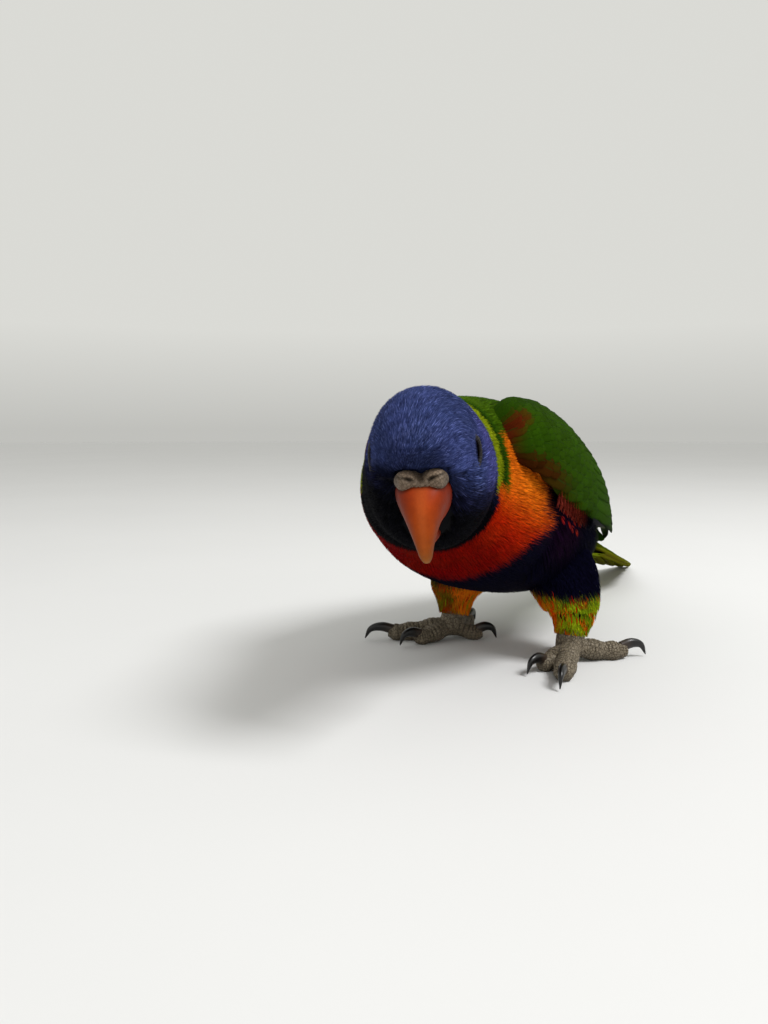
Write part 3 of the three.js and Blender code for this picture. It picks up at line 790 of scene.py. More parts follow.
# %% A region of the coat
PATCH = 0.003  # side of a tuft's patch, as a share of the map


def coat_map(places, roots, spans):
    """Each tuft as one small patch, at its root's place on the skin unrolled flat."""
    (t0, t1), (a0, a1) = spans
    t, angle = roots
    root = np.column_stack([(angle - a0) / (a1 - a0), (t - t0) / (t1 - t0)])
    root = 0.01 + 0.98 * np.clip(root, 0, 1) * (1 - PATCH)
    lane = np.tile(np.arange(STRANDS), len(t))
    root = np.repeat(root, STRANDS, axis=0)
    places = places.copy()
    places[..., 0] = (places[..., 0] + lane[:, None, None]) / STRANDS
    return root[:, None, None] + places * PATCH


def coat(name, surface, roots, spans, slot, size, ink, **style):
    """A region's feathers, grown from their roots and made one piece."""
    points, triangles, places, colours = tufts(surface, *roots, size, ink, **style)
    piece(name, points, triangles, down, slot, colours, coat_map(places, roots, spans))


print("patches of the map side by side:", round(1 / PATCH))

# %% [markdown]
# ## The wing as a surface
# A folded wing is a long curved sheet against the body. As with the body, one table gives its edge on the
# back, its lower edge, and how far it bulges. Any feather can then be laid on it by saying how far along
# the wing and how far across it lies.

# %% Places on the wing and on the tail
# Each row: edge on the back x, y, z, lower edge x, y, z, bulge, depth.
WING = [
    (11, -38, 73.4, 18.6, -42, 64.6, 1.0, 3), (12.8, -31, 77.4, 24.6, -36.5, 60, 4.2, 6),
    (12.4, -20, 78.2, 27.4, -24, 53, 5.4, 7), (12, -5, 77.2, 28.6, -6, 47, 5.6, 7),
    (11.2, 12, 72.2, 28, 13, 41.6, 5.4, 7), (10.2, 31, 62.8, 24.8, 33, 37.6, 4.4, 6),
    (8.8, 50, 51, 19.6, 54, 35, 3.4, 4), (6.8, 70, 40, 13.4, 73, 31.6, 1.8, 2),
    (6, 88, 31.6, 8.8, 90, 29, 0.6, 1),
]
MIRROR = np.array([-1, 1, 1])


def on_wing(s, k, lift, side):
    """A place on the wing, the way across, the way out, and how deep the wing is there.

    s runs along it from the bend to the tip, and k across it from the edge on the back to the lower edge.
    """
    rows = smooth(WING, s)
    tangent = smooth(WING, np.minimum(s + 1e-3, 1))[:, :3] - smooth(WING, np.maximum(s - 1e-3, 0))[:, :3]
    chord = rows[:, 3:6] - rows[:, :3]
    out = unit(np.cross(chord, tangent))
    out = out * np.where(out[:, :1] < 0, -1, 1)
    width = np.linalg.norm(chord, axis=1)
    point = rows[:, :3] + chord * k[:, None] + out * (rows[:, 6] * 4 * k * (1 - k) + lift)[:, None]
    tilt = (rows[:, 6] * 4 * (1 - 2 * k) / width)[:, None]
    across = unit(unit(chord) + out * tilt)
    out = unit(out - unit(chord) * tilt)
    turn = np.where(side > 0, 1, MIRROR)
    return point * turn, across * turn, out * turn, rows[:, 7]


TAIL_ROOT, TAIL_DROP = (0, 50, 36.5), 0.29
TAIL_OUT = unit(np.array([0, TAIL_DROP, 1.0]))


def on_tail(along, across, height):
    x, y, z = TAIL_ROOT
    point = np.column_stack([x + across, y + along, z - TAIL_DROP * along]) + TAIL_OUT * height[:, None]
    return point, np.tile([1.0, 0, 0], (len(along), 1)), np.tile(TAIL_OUT, (len(along), 1))


print("wing stations:", len(WING))

# %% [markdown]
# ## A stiff feather
# Flight feathers, tail feathers and the small scales of the wing are single curved vanes. Each is a thin
# closed plate with a shaft along it: narrow at its root, broad, then rounded or pointed. Its edge is a
# little uneven, because barbs part there. All feathers of one tier are made at once, as arrays.

# %% Vanes
COLUMNS = np.array([-1, -0.82, -0.45, -0.07, 0, 0.07, 0.45, 0.82, 1.0])  # across, from edge to edge


def vane_widths(t, pointed):
    """Half width along a feather: quickly broad, then rounded, or drawn out to a point."""
    start = 0.35 + 0.65 * ease(t, 0, 0.35)
    close, curve = (0.5, 1.7) if pointed else (0.72, 2.4)
    tip = np.sqrt(np.clip(1 - (np.clip(t - close, 0, 1) / (1.001 - close)) ** curve, 0, 1))
    return np.maximum(start * tip, 0.03)


def vanes(at, count, wide, *, steps=14, pointed=False, thick=0.3, roll=0.0, camber=0.0, ragged=0.04):
    """Curved plates as tubes, with t and the column of each point, and whether it is on the upper face.

    at(t, n) gives the place, the way across and the way out at t along feather n.
    """
    t = np.linspace(0, 1, steps) ** 0.9
    grid_n, grid_t = pairs(np.arange(count), t)
    point, across, out = (p.reshape(count, steps, 1, 3) for p in at(grid_t, grid_n)[:3])
    half = vane_widths(t, pointed)[None, :, None] * np.broadcast_to(wide, count)[:, None, None]
    edge = 1 + chance.normal(0, ragged, (count, steps, len(COLUMNS))) * (np.abs(COLUMNS) > 0.9)
    x = COLUMNS[None, None] * half * edge
    share = COLUMNS[None, None] * vane_widths(t, pointed)[None, :, None]
    ridge = 0.35 * thick * hump(COLUMNS, 0.06) * (1 - t[:, None] * 0.7)
    height = roll * share - camber * share**2 + ridge[None]
    rim = thick / 2 * np.where(np.abs(COLUMNS) > 0.9, 0.35, 1)
    upper = point + across * x[..., None] + out * (height + rim)[..., None]
    lower = point + across * x[..., None] + out * (height - ridge[None] * 0.4 - rim)[..., None]
    points, triangles, places = tubes(np.concatenate([upper, lower[:, :, ::-1]], axis=2))
    around = np.concatenate([COLUMNS, COLUMNS[::-1]])
    t_of = np.append(np.repeat(t, len(around)), [0, 1])
    x_of = np.append(np.tile(around, steps), [0, 0])
    over = np.append(np.tile(np.repeat([1.0, 0.0], len(COLUMNS)), steps), [1, 1])
    return {"points": points, "triangles": triangles, "places": places, "t": t_of, "x": x_of, "over": over,
            "count": count}


print("columns across a vane:", len(COLUMNS))

# %% [markdown]
# Each vane gets a cell of its own on the bake's map. A second map runs across the vane and along it, for its
# barbs and its shaft.

# %% Maps and pieces of vanes
def vane_maps(parts):
    """A cell for each feather on the bake's map, and the barbs' own map: across the vane, and along it."""
    total = sum(p["count"] for p in parts)
    columns = math.ceil(math.sqrt(total * 3))
    rows = math.ceil(total / columns)
    bake, own, number = [], [], 0
    for p in parts:
        n = np.arange(number, number + p["count"])
        corner = np.column_stack([n % columns / columns, n // columns / rows])
        size = np.array([0.92 / columns, 0.94 / rows])
        bake.append((corner[:, None, None] + (p["places"] + 0.03) * size).reshape(-1, 2))
        local = p["triangles"] - p["triangles"].min(axis=(1, 2))[:, None, None]
        own.append(np.stack([p["x"][local] / 2 + 0.5, p["t"][local]], axis=-1).reshape(-1, 2))
        number += p["count"]
    return np.vstack(bake), np.vstack(own)


def vane_piece(name, parts, material, slot, nodes):
    """Several sets of vanes as one piece."""
    points, triangles = stacked((p["points"], p["triangles"]) for p in parts)
    colours = np.vstack([p["colours"].reshape(-1, 3) for p in parts])
    bake, own = vane_maps(parts)
    piece(name, points, triangles, material, slot, colours, bake, nodes, Vane=own)


print("helpers for vanes: vanes, vane_maps, vane_piece")

# %% [markdown]
# ## The wings
# From below, a folded wing is a stack of tiers: long primaries that reach past the rump, then secondaries,
# then rows of smaller and smaller coverts up to the bend. A few inner feathers cover their roots along the
# back. Upper rows lie over lower ones. The green is brightest in the middle of the wing. It darkens towards
# the edges and the tips, and turns brown-red at the bend. Along the front edge, where the wing meets the
# breast, it is painted dark brown as shade.

# %% Tiers and colours of the wing
# Each tier: feathers, roots and tips along the wing at its lower edge and at its back, span across it,
# half width, lift at the root and at the tip, more lift for each feather, roll, and whether it is pointed.
WING_TIERS = [
    (11, (0.38, 0.32), (1.0, 0.7), (0.86, 0.24), 3.9, (-1.6, -1.5), 0.32, 0.0, True),
    (11, (0.24, 0.2), (0.74, 0.6), (0.9, 0.1), 3.8, (-1.1, -0.1), 0.06, 0.3, False),
    (12, (0.16, 0.13), (0.56, 0.46), (0.93, 0.08), 3.5, (-1.0, 0.55), 0.0, 0.3, False),
    (6, (0.4, 0.28), (0.8, 0.7), (0.26, 0.02), 3.0, (-0.9, 0.2), 0.08, 0.25, False),
]
COVERT_ROWS = 11


def wing_tiers():
    tiers = list(WING_TIERS)
    for row in range(COVERT_ROWS):
        root = 0.27 - 0.027 * row
        reach = 0.135 - 0.0035 * row
        shift = 0.035 * (row % 2)
        tips, span = (root + reach, root + reach - 0.01), (0.97 - shift, 0.03 + shift)
        lift = (-0.9, 0.75 + 0.02 * row)
        tiers.append((12 + row % 2, (root, root), tips, span, 2.9 - 0.07 * row, lift, 0.0, 0.22, False))
    return tiers


def wing_colour(part, s, k, tier):
    """Green, darker along the wing's edges and vanes' sides, brown-red at the bend, black at long tips;
    painted shade at the front edge.
    """
    shape = part["points"].shape[:2]
    t, x = np.broadcast_to(part["t"], shape), np.broadcast_to(part["x"], shape)
    s, k = s[:, None], k[:, None]
    edge = np.clip(np.abs(k - 0.45) * 1.5, 0, 1) ** 2
    shade = 0.35 * edge + 0.25 * np.clip(t * 2 - 1, 0, 1) * np.abs(x) + 0.25 * (t < 0.3)
    colour = mixed(INK["green"], "deep_green", shade)
    lead = ease(x, 0.3, 0.95) * ease(k, 0.6, 0.85) if tier < 2 else 0 * x
    tips = ease(t, 0.78, 1) * ease(s, 0.8, 1) if tier == 0 else 0 * x
    colour = mixed(colour, "black", 0.75 * lead + 0.8 * tips)
    limit = 0.15 - 0.06 * ease(k, 0.3, 0.7)
    bend = 0.9 * (1 - ease(s + 0.05 * t, limit, limit + 0.05)) * ease(k, 0.15, 0.35)
    colour = mixed(colour, "brown_red", bend)
    # Painted shade: the lower front edge, where the wing meets the breast, is painted dark brown.
    front = ease(k, 0.78, 0.92) * (1 - ease(s + 0.03 * t, 0.2, 0.34))
    colour = mixed(colour, INK["brown_red"] * 0.4, 0.85 * front)
    return 0.56 * colour * chance.uniform(0.85, 1.15, (shape[0], 1, 1))


print("tiers of a wing:", len(wing_tiers()), "feathers:", sum(tier[0] for tier in wing_tiers()))

# %% [markdown]
# Within a tier, roots and tips move forward evenly from the wing's lower edge to its back. Each feather rises
# over the wing from its root to its tip.

# %% Wing feathers
for name, side in SIDES:
    parts = []
    for tier, (count, root, tip, span, wide, lift, more, roll, pointed) in enumerate(wing_tiers()):
        share = np.arange(count) / (count - 1)
        starts, ends = root[0] + (root[1] - root[0]) * share, tip[0] + (tip[1] - tip[0]) * share
        k = span[0] + (span[1] - span[0]) * share + chance.normal(0, 0.006, count)
        starts = starts + chance.normal(0, 0.006, count)

        def at(t, n):
            s = starts[n] + (ends[n] - starts[n]) * t
            height = lift[0] + (lift[1] + more * n - lift[0]) * t
            return on_wing(s, k[n], height, side)

        steps = 18 if tier < len(WING_TIERS) else 10
        part = vanes(at, count, wide, steps=steps, pointed=pointed, thick=0.34, roll=roll, camber=0.25)
        part["colours"] = wing_colour(part, ends, k, tier)
        parts.append(part)
    vane_piece(f"wing_feathers_{name}", parts, wing_vanes, "wing_green", [f"wing_{name}"])

# %% [markdown]
# ## The tail
# Twelve feathers make the tail, the middle pair on top and longest and each pair below it shorter, so
# the tail tapers to a point. Above they are green, below olive yellow with a dark line near the shaft.
# Short coverts hide their roots on both sides.

# %% Tail feathers
TAIL_PAIRS, LONGEST, SHORTER = 6, 112, 8.8
TAIL_COVERT_ROWS = 4


def tail_colour(part):
    shape = part["points"].shape[:2]
    t, x, over = (np.broadcast_to(part[key], shape) for key in ("t", "x", "over"))
    above = mixed(INK["green"], "deep_green", np.abs(x) * 0.6 + t * 0.4)
    below = mixed(INK["olive"], "vent", 0.35 * np.abs(x))
    below = mixed(below, "dark_olive", 0.8 * hump(x - 0.25, 0.16))
    return np.where(over[..., None] > 0.5, above, below) * chance.uniform(0.88, 1.12, (shape[0], 1, 1))


parts = []
for pair in range(TAIL_PAIRS):
    for _, side in SIDES:
        def at(t, n):
            across = side * (1.4 + 0.8 * pair + 1.3 * pair * t)
            height = np.full(len(t), -0.85 * pair - (0 if side > 0 else 0.35))
            return on_tail((LONGEST - SHORTER * pair) * t, across, height)

        part = vanes(at, 1, 5.2, steps=40, pointed=True, thick=0.4, roll=-side * 0.2, camber=0.15,
                     ragged=0.02)
        part["points"][..., 2] = np.maximum(part["points"][..., 2], FLOOR + 0.1 + 0.25 * (side > 0))
        part["colours"] = tail_colour(part)
        parts.append(part)

for row in range(TAIL_COVERT_ROWS):
    for over in (True, False):
        count = 7 - row % 2

        def at(t, n):
            lane = (n - (count - 1) / 2) * (1 + 0.35 * t)
            begin, finish = (2 - 6 * row, 42 - 8 * row) if over else (4 - 6 * row, 46 - 8 * row)
            finish = finish - 0.5 * lane**2
            rise = (6.2 + 1.5 * row, 1.5 + 1.1 * row) if over else (-9.5 - 0.9 * row, -5.6 - 1.2 * row)
            curve = -np.abs(lane) * 0.35 if over else np.abs(lane) * 0.3
            height = rise[0] + (rise[1] - rise[0]) * t + curve
            return on_tail(begin + (finish - begin) * t, lane * (2.1 + 0.15 * row), height)

        part = vanes(at, count, 2.8, steps=16, thick=0.3, roll=0.15, camber=0.2)
        ink = INK["green"] * 0.75 + INK["deep_green"] * 0.25 if over else INK["vent"]
        part["colours"] = np.broadcast_to(ink, (*part["points"].shape[:2], 3))
        part["colours"] = part["colours"] * chance.uniform(0.85, 1.15, (count, 1, 1))
        parts.append(part)
vane_piece("tail_feathers", parts, tail_vanes, "tail_olive", ["tail"])

# %% [markdown]
# ## Legs
# The feathered part of each leg is a tapering limb. The same helper makes the shank, the toes and the
# claws: a smooth path, with a width and a height at a few places along it.

# %% Limbs
FOOT = {"left": (23.5, -5.5), "right": (-16.5, 1)}  # where each stands, x and y
FOOT_TURN = {"left": 0.0, "right": math.radians(42)}


def limb(path, radii, t, angle):
    """A place on a round limb: t along it and an angle round it."""
    centre, size = smooth(path, t), smooth(radii, t)
    ahead, behind = np.minimum(t + 2e-3, 1), np.maximum(t - 2e-3, 0)
    along = unit(smooth(path, ahead) - smooth(path, behind))
    run = np.array(path[-1], float) - np.array(path[0], float)
    flat = (0.0, 1.0, 0.0) if abs(run[2]) > 0.7 * np.linalg.norm(run) else (0.0, 0.0, 1.0)
    across = unit(np.cross(along, flat))
    rise = unit(np.cross(across, along))
    wide, high = np.cos(angle) * size[:, 0], np.sin(angle) * size[:, 1]
    return centre + across * wide[:, None] + rise * high[:, None]


def rings_of(surface, rings, sides):
    """A closed tube over any surface read by t and angle: points, triangles, and the t of each point."""
    t, angle = pairs(np.linspace(0, 1, rings), np.arange(sides) / sides * 2 * np.pi)
    points, triangles, _ = tubes(surface(t, angle).reshape(1, rings, sides, 3))
    return points.reshape(-1, 3), triangles.reshape(-1, 3), np.append(t, [0, 1])


def thigh_surface(side, grow=0.0):
    x, y = FOOT["left" if side > 0 else "right"]
    top, low = side * 10, y + 2
    path = [(top, 5, 38), (top + (x - top) * 0.62, 5 + (low - 5) * 0.5, 28),
            (top + (x - top) * 0.93, 5 + (low - 5) * 0.9, FLOOR + 17), (x, low, FLOOR + 13.3),
            (x, low - 0.6, FLOOR + 10), (x, low - 1.2, FLOOR + 7.6)]
    sizes = ((10, 11), (10, 11.4), (8.3, 9), (6.5, 6.8), (5.1, 5.3), (4.4, 4.5))
    radii = [(w + grow, h + grow) for w, h in sizes]
    return lambda t, angle: limb(path, radii, t, angle)


print("the feet stand at", FOOT)

# %% [markdown]
# ## One skin
# Body, thighs and the flesh of the wings are one piece on the real bird. Here they are made as closed
# forms a little inside the model's outline, so that feathers fill the difference, and a voxel remesh melts
# them into one surface without a seam.

# %% Melt forms into one surface
def melted(shells, voxel, smoothing):
    """Closed forms in millimetres as one remeshed surface: its points and triangles."""
    mesh = mesh_of("forms", *stacked(shells))
    made = bpy.data.objects.new("forms", mesh)
    bpy.context.scene.collection.objects.link(made)
    remesh = made.modifiers.new("remesh", "REMESH")
    remesh.mode, remesh.voxel_size = "VOXEL", voxel
    relax = made.modifiers.new("relax", "SMOOTH")
    relax.factor, relax.iterations = 0.5, smoothing
    evaluated = made.evaluated_get(bpy.context.evaluated_depsgraph_get()).to_mesh()
    evaluated.calc_loop_triangles()
    places = np.zeros(len(evaluated.vertices) * 3, np.float32)
    evaluated.vertices.foreach_get("co", places)
    corners = np.zeros(len(evaluated.loop_triangles) * 3, np.int32)
    evaluated.loop_triangles.foreach_get("vertices", corners)
    bpy.data.objects.remove(made)
    bpy.data.meshes.remove(mesh)
    return places.reshape(-1, 3).astype(float), corners.reshape(-1, 3)


COAT_DEPTH = 1.3  # how far the skin lies inside the outline


def shrunk(surface, depth):
    """The same surface, moved inwards."""
    def inner(t, angle):
        where, _, _, out = frame_on(surface, t, angle)
        return where - out * depth
    return inner


def wing_core(side):
    """The wing's flesh: its outer face inside the feathers, and its inner face against the body."""
    steps, rows = 40, 12
    s, k = pairs(np.linspace(0.004, 0.64, steps), np.linspace(0.04, 0.96, rows))
    point, _, out, deep = on_wing(s, k, np.full(len(s), -COAT_DEPTH), side)
    inner = point - out * (deep * (0.35 + 2.6 * k * (1 - k)))[:, None]
    outer, inner = point.reshape(steps, rows, 3), inner.reshape(steps, rows, 3)
    return tubes(np.concatenate([outer, inner[:, ::-1]], axis=1)[None])[:2]


shells = [rings_of(shrunk(body, COAT_DEPTH), 120, 90)[:2]]
for _, side in SIDES:
    shells += [rings_of(thigh_surface(side, -COAT_DEPTH), 24, 32)[:2], wing_core(side)]
skin_points, skin_triangles = melted(shells, voxel=1.0, smoothing=3)
print("points of the melted skin:", len(skin_points))

# %% [markdown]
# The skin is pressed in where the eyes sit, and darkened there with painted shade. Its colour is the marking
# of the nearest place on the body's outline, darkened with painted shade, as skin between feathers lies in
# shade. Places far from the outline take a wing's or a leg's colour, darkened the same way.

# %% Sink the eye sockets, and paint the skin with its markings and painted shade
def eye_distance(where):
    """How far each place is from the axis of the nearer eye."""
    y, z = head_point(EYE["f"], EYE["u"])
    return np.where(np.abs(where[:, 0]) > 5, np.hypot(where[:, 1] - y, where[:, 2] - z), 99)


def finder(points):
    """A tree that finds the nearest of many points."""
    tree = KDTree(len(points))
    for number, point in enumerate(points):
        tree.insert(point, number)
    tree.balance()
    return tree


socket = 1 - ease(eye_distance(skin_points), 2.2, 3.2)
map_t, map_a = pairs(np.linspace(0, 1, 160), np.linspace(-np.pi, np.pi, 121)[:-1])
nearest = finder(body(map_t, map_a))
found = [nearest.find(point)[1:] for point in skin_points]
close, far = (np.array(column) for column in zip(*found))
# The skin's marking colours, darkened with painted shade, since skin between feathers lies in shade. Wing and
# leg flesh likewise.
skin_colours_with_painted_shade = body_markings(map_t[close], map_a[close]) * 0.55
wing_flesh = ease(far, 2.2, 3.2) * (skin_points[:, 2] > 36)
skin_colours_with_painted_shade = mixed(skin_colours_with_painted_shade, INK["deep_green"] * 0.6, wing_flesh)
leg_flesh = ease(far, 2.2, 3.2) * (skin_points[:, 2] < 30)
skin_colours_with_painted_shade = mixed(skin_colours_with_painted_shade, INK["belly"] * 0.6, leg_flesh)
skin_points[:, 0] -= np.sign(skin_points[:, 0]) * 2.4 * socket
# Painted shade in the eye sockets.
skin_colours_with_painted_shade = skin_colours_with_painted_shade * (1 - 0.8 * socket)[:, None]
FLESH = ["head", "neck", "torso", "thigh_left", "thigh_right"]
piece("skin", skin_points, skin_triangles, under_skin, "breast_red", skin_colours_with_painted_shade, nodes=FLESH)

# %% [markdown]
# ## The coat of the head
# The head has the finest feathers: two millimetres long beside the bill, and up to six on the crown. Under
# a lens each shows a lighter blue streak along it, with dark gaps between, and the streaks fan back from
# the bill. Feathers keep clear of the cere and the ring round each eye, and get shorter beside them.

# %% Where the head is bare, and its streaks
HEAD_FROM = 10.6 / STATIONS
EYE_OPENING = 3.3  # the radius that feathers leave free round an eye


def on_bill(where):
    f, u = head_place(where)
    return (f > 8.5) & (u < 0.6) & (u > -14) & (np.abs(where[:, 0]) < 5.2)


def on_cere(where):
    f, u = head_place(where)
    return (f > 11) & (u < 1.5) & (np.abs(where[:, 0]) < 5.4)


def bare(where):
    return on_bill(where) | on_cere(where) | (eye_distance(where) < EYE_OPENING)


def head_streaks(base, lane, tuft):
    """Lighter streaks in the middle of a feather, and now and then a dark or a pale one."""
    light = hump(lane, 0.26) * 0.6 * (tuft > 0.35)
    light = (light + 0.6 * (tuft > 0.92) * (np.abs(lane) < 0.5))[:, None]
    base = base * (1 + 1.3 * light) + INK["streak"] * 0.2 * light * ease(base[:, 2:], 0.012, 0.1)
    return base * np.where(tuft < 0.18, 0.5, 1.0)[:, None]


print("the head's coat starts at station", round(HEAD_FROM * STATIONS, 1))

# %% [markdown]
# The body's outline closes on itself between the cere and the forehead, and feathers laid along it would
# make a star there. So the front of the head gets a map of its own: a dome seen from inside the skull,
# measured with rays against the body's form. It runs from the crown down to the cere, and from one cheek to
# the other.

# %% The dome of the forehead
DOME_AT = on_head(7, 1, 0)
DOME_BACK, DOME_LOW, DOME_REACH = math.radians(140), math.radians(-6), 1.4
DOME_ROWS, DOME_COLUMNS = 91, 101
DOME_FROM, DOME_SIDE = 0.26, 1.0  # the part of the dome where feathers are rooted
RAY_START = 60  # far enough out to be clear of the head


def dome_way(t, angle):
    """The way from inside the skull: t runs from the crown to the cere, and angle to the bird's left."""
    rise = DOME_BACK + (DOME_LOW - DOME_BACK) * t - HEAD_DOWN
    return np.column_stack([np.sin(angle), -np.cos(angle) * np.cos(rise), np.cos(angle) * np.sin(rise)])


form_points, form_triangles, _ = rings_of(body, 220, 120)
form = BVHTree.FromPolygons(form_points.tolist(), form_triangles.tolist())
ways = dome_way(*pairs(np.linspace(0, 1, DOME_ROWS), np.linspace(-DOME_REACH, DOME_REACH, DOME_COLUMNS)))
hits = [form.ray_cast(Vector(DOME_AT + way * RAY_START), Vector(-way))[3] for way in ways]
dome_radius = RAY_START - np.array(hits).reshape(DOME_ROWS, DOME_COLUMNS)
for _ in range(3):
    padded = np.pad(dome_radius, 1, mode="edge")
    dome_radius = (padded[1:-1, 1:-1] * 2 + padded[:-2, 1:-1] + padded[2:, 1:-1] + padded[1:-1, :-2]
                   + padded[1:-1, 2:]) / 6


def dome(t, angle):
    row = np.clip(t, 0, 1) * (DOME_ROWS - 1)
    column = np.clip((angle + DOME_REACH) / (2 * DOME_REACH), 0, 1) * (DOME_COLUMNS - 1)
    i, j = np.minimum(row.astype(int), DOME_ROWS - 2), np.minimum(column.astype(int), DOME_COLUMNS - 2)
    v, w = row - i, column - j
    radius = ((dome_radius[i, j] * (1 - v) + dome_radius[i + 1, j] * v) * (1 - w)
              + (dome_radius[i, j + 1] * (1 - v) + dome_radius[i + 1, j + 1] * v) * w)
    return DOME_AT + dome_way(t, angle) * radius[:, None]


def on_dome(where):
    """True on the part of the head that the dome's feathers cover."""
    way = unit(where - DOME_AT)
    rise = np.arctan2(way[:, 2], -way[:, 1]) + HEAD_DOWN
    t = (rise - DOME_BACK) / (DOME_LOW - DOME_BACK)
    return (np.abs(np.arcsin(way[:, 0])) < DOME_SIDE) & (t > DOME_FROM) & (t < 1)


print("the dome's radius:", dome_radius.min().round(1), "to", dome_radius.max().round(1), "mm")

# %% [markdown]
# On the forehead and the crown, feathers are shortest at the cere and beside the eyes. Their sweep fans them
# out from the bill.

# %% Forehead and crown feathers
def crown_density(t, angle, where):
    return np.where(bare(where), 0, 1 + 0.8 * ease(t, 0.6, 0.9))


for name, side in SIDES:
    span = ((DOME_FROM, 1.0), one_side(side, 0, DOME_SIDE))
    t, angle = sow(dome, TUFTS["crown"], span, crown_density)
    where = dome(t, angle)
    f, u = head_place(where)
    long = 6.2 - 3.0 * ease(f, 0, 15)
    long = np.where((f > 13) & (u < 5), np.minimum(long, 2.0), long)
    from_eye = eye_distance(where) - EYE_OPENING
    long = np.minimum(long, np.clip(1.1 + 0.7 * from_eye, 1.1, 9))
    coat(f"crown_feathers_{name}", dome, (t, angle), span, "head_blue",
         (long, 0.36 + 0.08 * long, 0.05 + 0.008 * long), lambda t, a: head_markings(dome(t, a)),
         lift=(-1.2, 0.05), sweep=(0.45 + 0.7 * angle) * ease(from_eye, 0.5, 4), paint=head_streaks)

# %% [markdown]
# The rest of the head follows the body's own outline. The sweep of its feathers fades out on the throat.

# %% Cheek, nape and throat feathers
def head_density(t, angle, where):
    return np.where(bare(where) | on_dome(where), 0, 1.0)


for name, side in SIDES:
    span = ((HEAD_FROM, 1.0), one_side(side, 0, np.pi))
    t, angle = sow(body, TUFTS["head"], span, head_density)
    where = body(t, angle)
    f, u = head_place(where)
    long = 6.6 - 3.6 * ease(f, -12, 15) - 0.6 * ease(-u, 4, 12)
    long = np.minimum(long, np.clip(1.1 + 0.9 * (eye_distance(where) - EYE_OPENING), 1.1, 9))
    long = np.where((f > 9) & (u < 4) & (np.abs(where[:, 0]) < 8), np.minimum(long, 2.4), long)
    drift = np.where(angle > 0, 0.4 - 0.65 * ease(angle, 0.45, 1.3), 0.35)
    coat(f"head_feathers_{name}", body, (t, angle), span, "head_blue",
         (long, 0.4 + 0.1 * long, 0.055 + 0.008 * long), body_markings,
         lift=(-1.3, -0.25), sweep=drift * (1 - ease(np.abs(angle), 1.8, 2.6)), paint=head_streaks)

# %% [markdown]
# ## The coat of the body
# Down the neck, breast, belly and back the feathers grow to about a centimetre. None grows where a wing
# covers the body. Their tones differ, and their outer strands are darker, so the coat looks a little ragged.

# %% Body feathers
wing_s = np.linspace(0, 1, 60)
wing_rows = smooth(WING, wing_s)


def under_wing(where):
    """True where a folded wing lies over the body."""
    back_z = np.interp(where[:, 1], wing_rows[:, 1], wing_rows[:, 2])
    low_z = np.interp(where[:, 1], wing_rows[:, 4], wing_rows[:, 5])
    inside = (where[:, 2] < back_z - 5) & (where[:, 2] > low_z + 3.5) & (np.abs(where[:, 0]) > 8)
    return inside & (where[:, 1] > -41) & (where[:, 1] < 66)


def body_density(t, angle, where):
    return np.where(under_wing(where), 0, 1 + 1.2 * ease(t * STATIONS, 9.9, 10.4))


def ragged_edges(base, lane, tuft):
    base = base * (1 - 0.3 * (np.abs(lane) > 0.8))[:, None]
    return base * (0.74 + 0.42 * tuft)[:, None]


# Each region with its stations and its slot.
REGIONS = [("neck_breast", 8.2, 11.2, "breast_red"), ("belly_back", 0.4, 8.6, "wing_green")]
for region, start, end, slot in REGIONS:
    for name, side in SIDES:
        span = ((start / STATIONS, end / STATIONS), one_side(side, 0, np.pi))
        t, angle = sow(body, TUFTS[region], span, body_density)
        station = t * STATIONS
        long = 9.4 - 5.8 * ease(station, 8.8, 10.8) + 1.2 * (1 - ease(station, 3, 6))
        coat(f"{region}_{name}", body, (t, angle), span, slot, (long, 0.7 + 0.09 * long, 0.14),
             body_markings, lift=(-1.4, 0.0), paint=ragged_edges)

# %% [markdown]
# ## The legs' coat
# The thigh is blue-black. Just above the foot it turns green with orange and yellow strands, which hang a
# little over the bare shank. The cuff and its yellow strands are painted brighter, as though lit.

# %% Thigh feathers
for name, side in SIDES:
    surface = thigh_surface(side)
    span = ((0.12, 0.84), (0, 2 * np.pi))

    def leg_ink_with_painted_light(t, angle):
        where = surface(t, angle)
        cuff = 1 - ease(where[:, 2], 20.5, 24)
        colour = mixed(plain("belly", t), "green", cuff)
        patch = mottled(where, (0.8, 0.5, 0.7), (-0.7, 0.9, 0.6))
        yellow = 1 if side > 0 else 0.3
        colour = mixed(colour, "vent", cuff * (0.35 + 0.6 * ease(patch, -0.2, 0.3)) * yellow)
        colour = mixed(colour, "flame", 0.6 * cuff * ease(-patch, 0.3, 0.6))
        inner = ease(-side * (where[:, 0] - FOOT[name][0]), 1, 4.5)
        if side < 0:
            colour = mixed(colour, "brown_red", cuff * 0.55)
        colour = mixed(colour, "flame" if side > 0 else "orange", cuff * inner * 0.6)
        # Painted light: the cuff's colours are brightened, as though lit.
        return colour * (1 + 0.8 * cuff)[:, None]

    def leg_streaks(base, lane, tuft):
        cuff = base[:, 0] > INK["belly"][0] * 3
        pick = (tuft * 5 + lane * 0.07) % 1
        # Yellow strands painted brighter than their ink, as though lit.
        base = np.where((cuff & (pick > 0.92))[:, None], INK["vent"] * 1.3, base)
        return np.where((cuff & (pick < 0.06))[:, None], INK["flame"] * 1.1, base)

    coat(f"thigh_feathers_{name}", surface, sow(surface, TUFTS["thigh"], span), span, "thigh_blue",
         (5.2, 1.2, 0.14), leg_ink_with_painted_light, flow=1, lift=(-1.2, 0.3), stray=0.12, paint=leg_streaks)

# %% [markdown]
# Where the thigh leaves the belly, long flank feathers hang down and back over it, so that no edge shows.
# Above them, below the wing's edge, lie a few small rose specks.

# %% Flank feathers
FLANK_SWEEP = 0.75


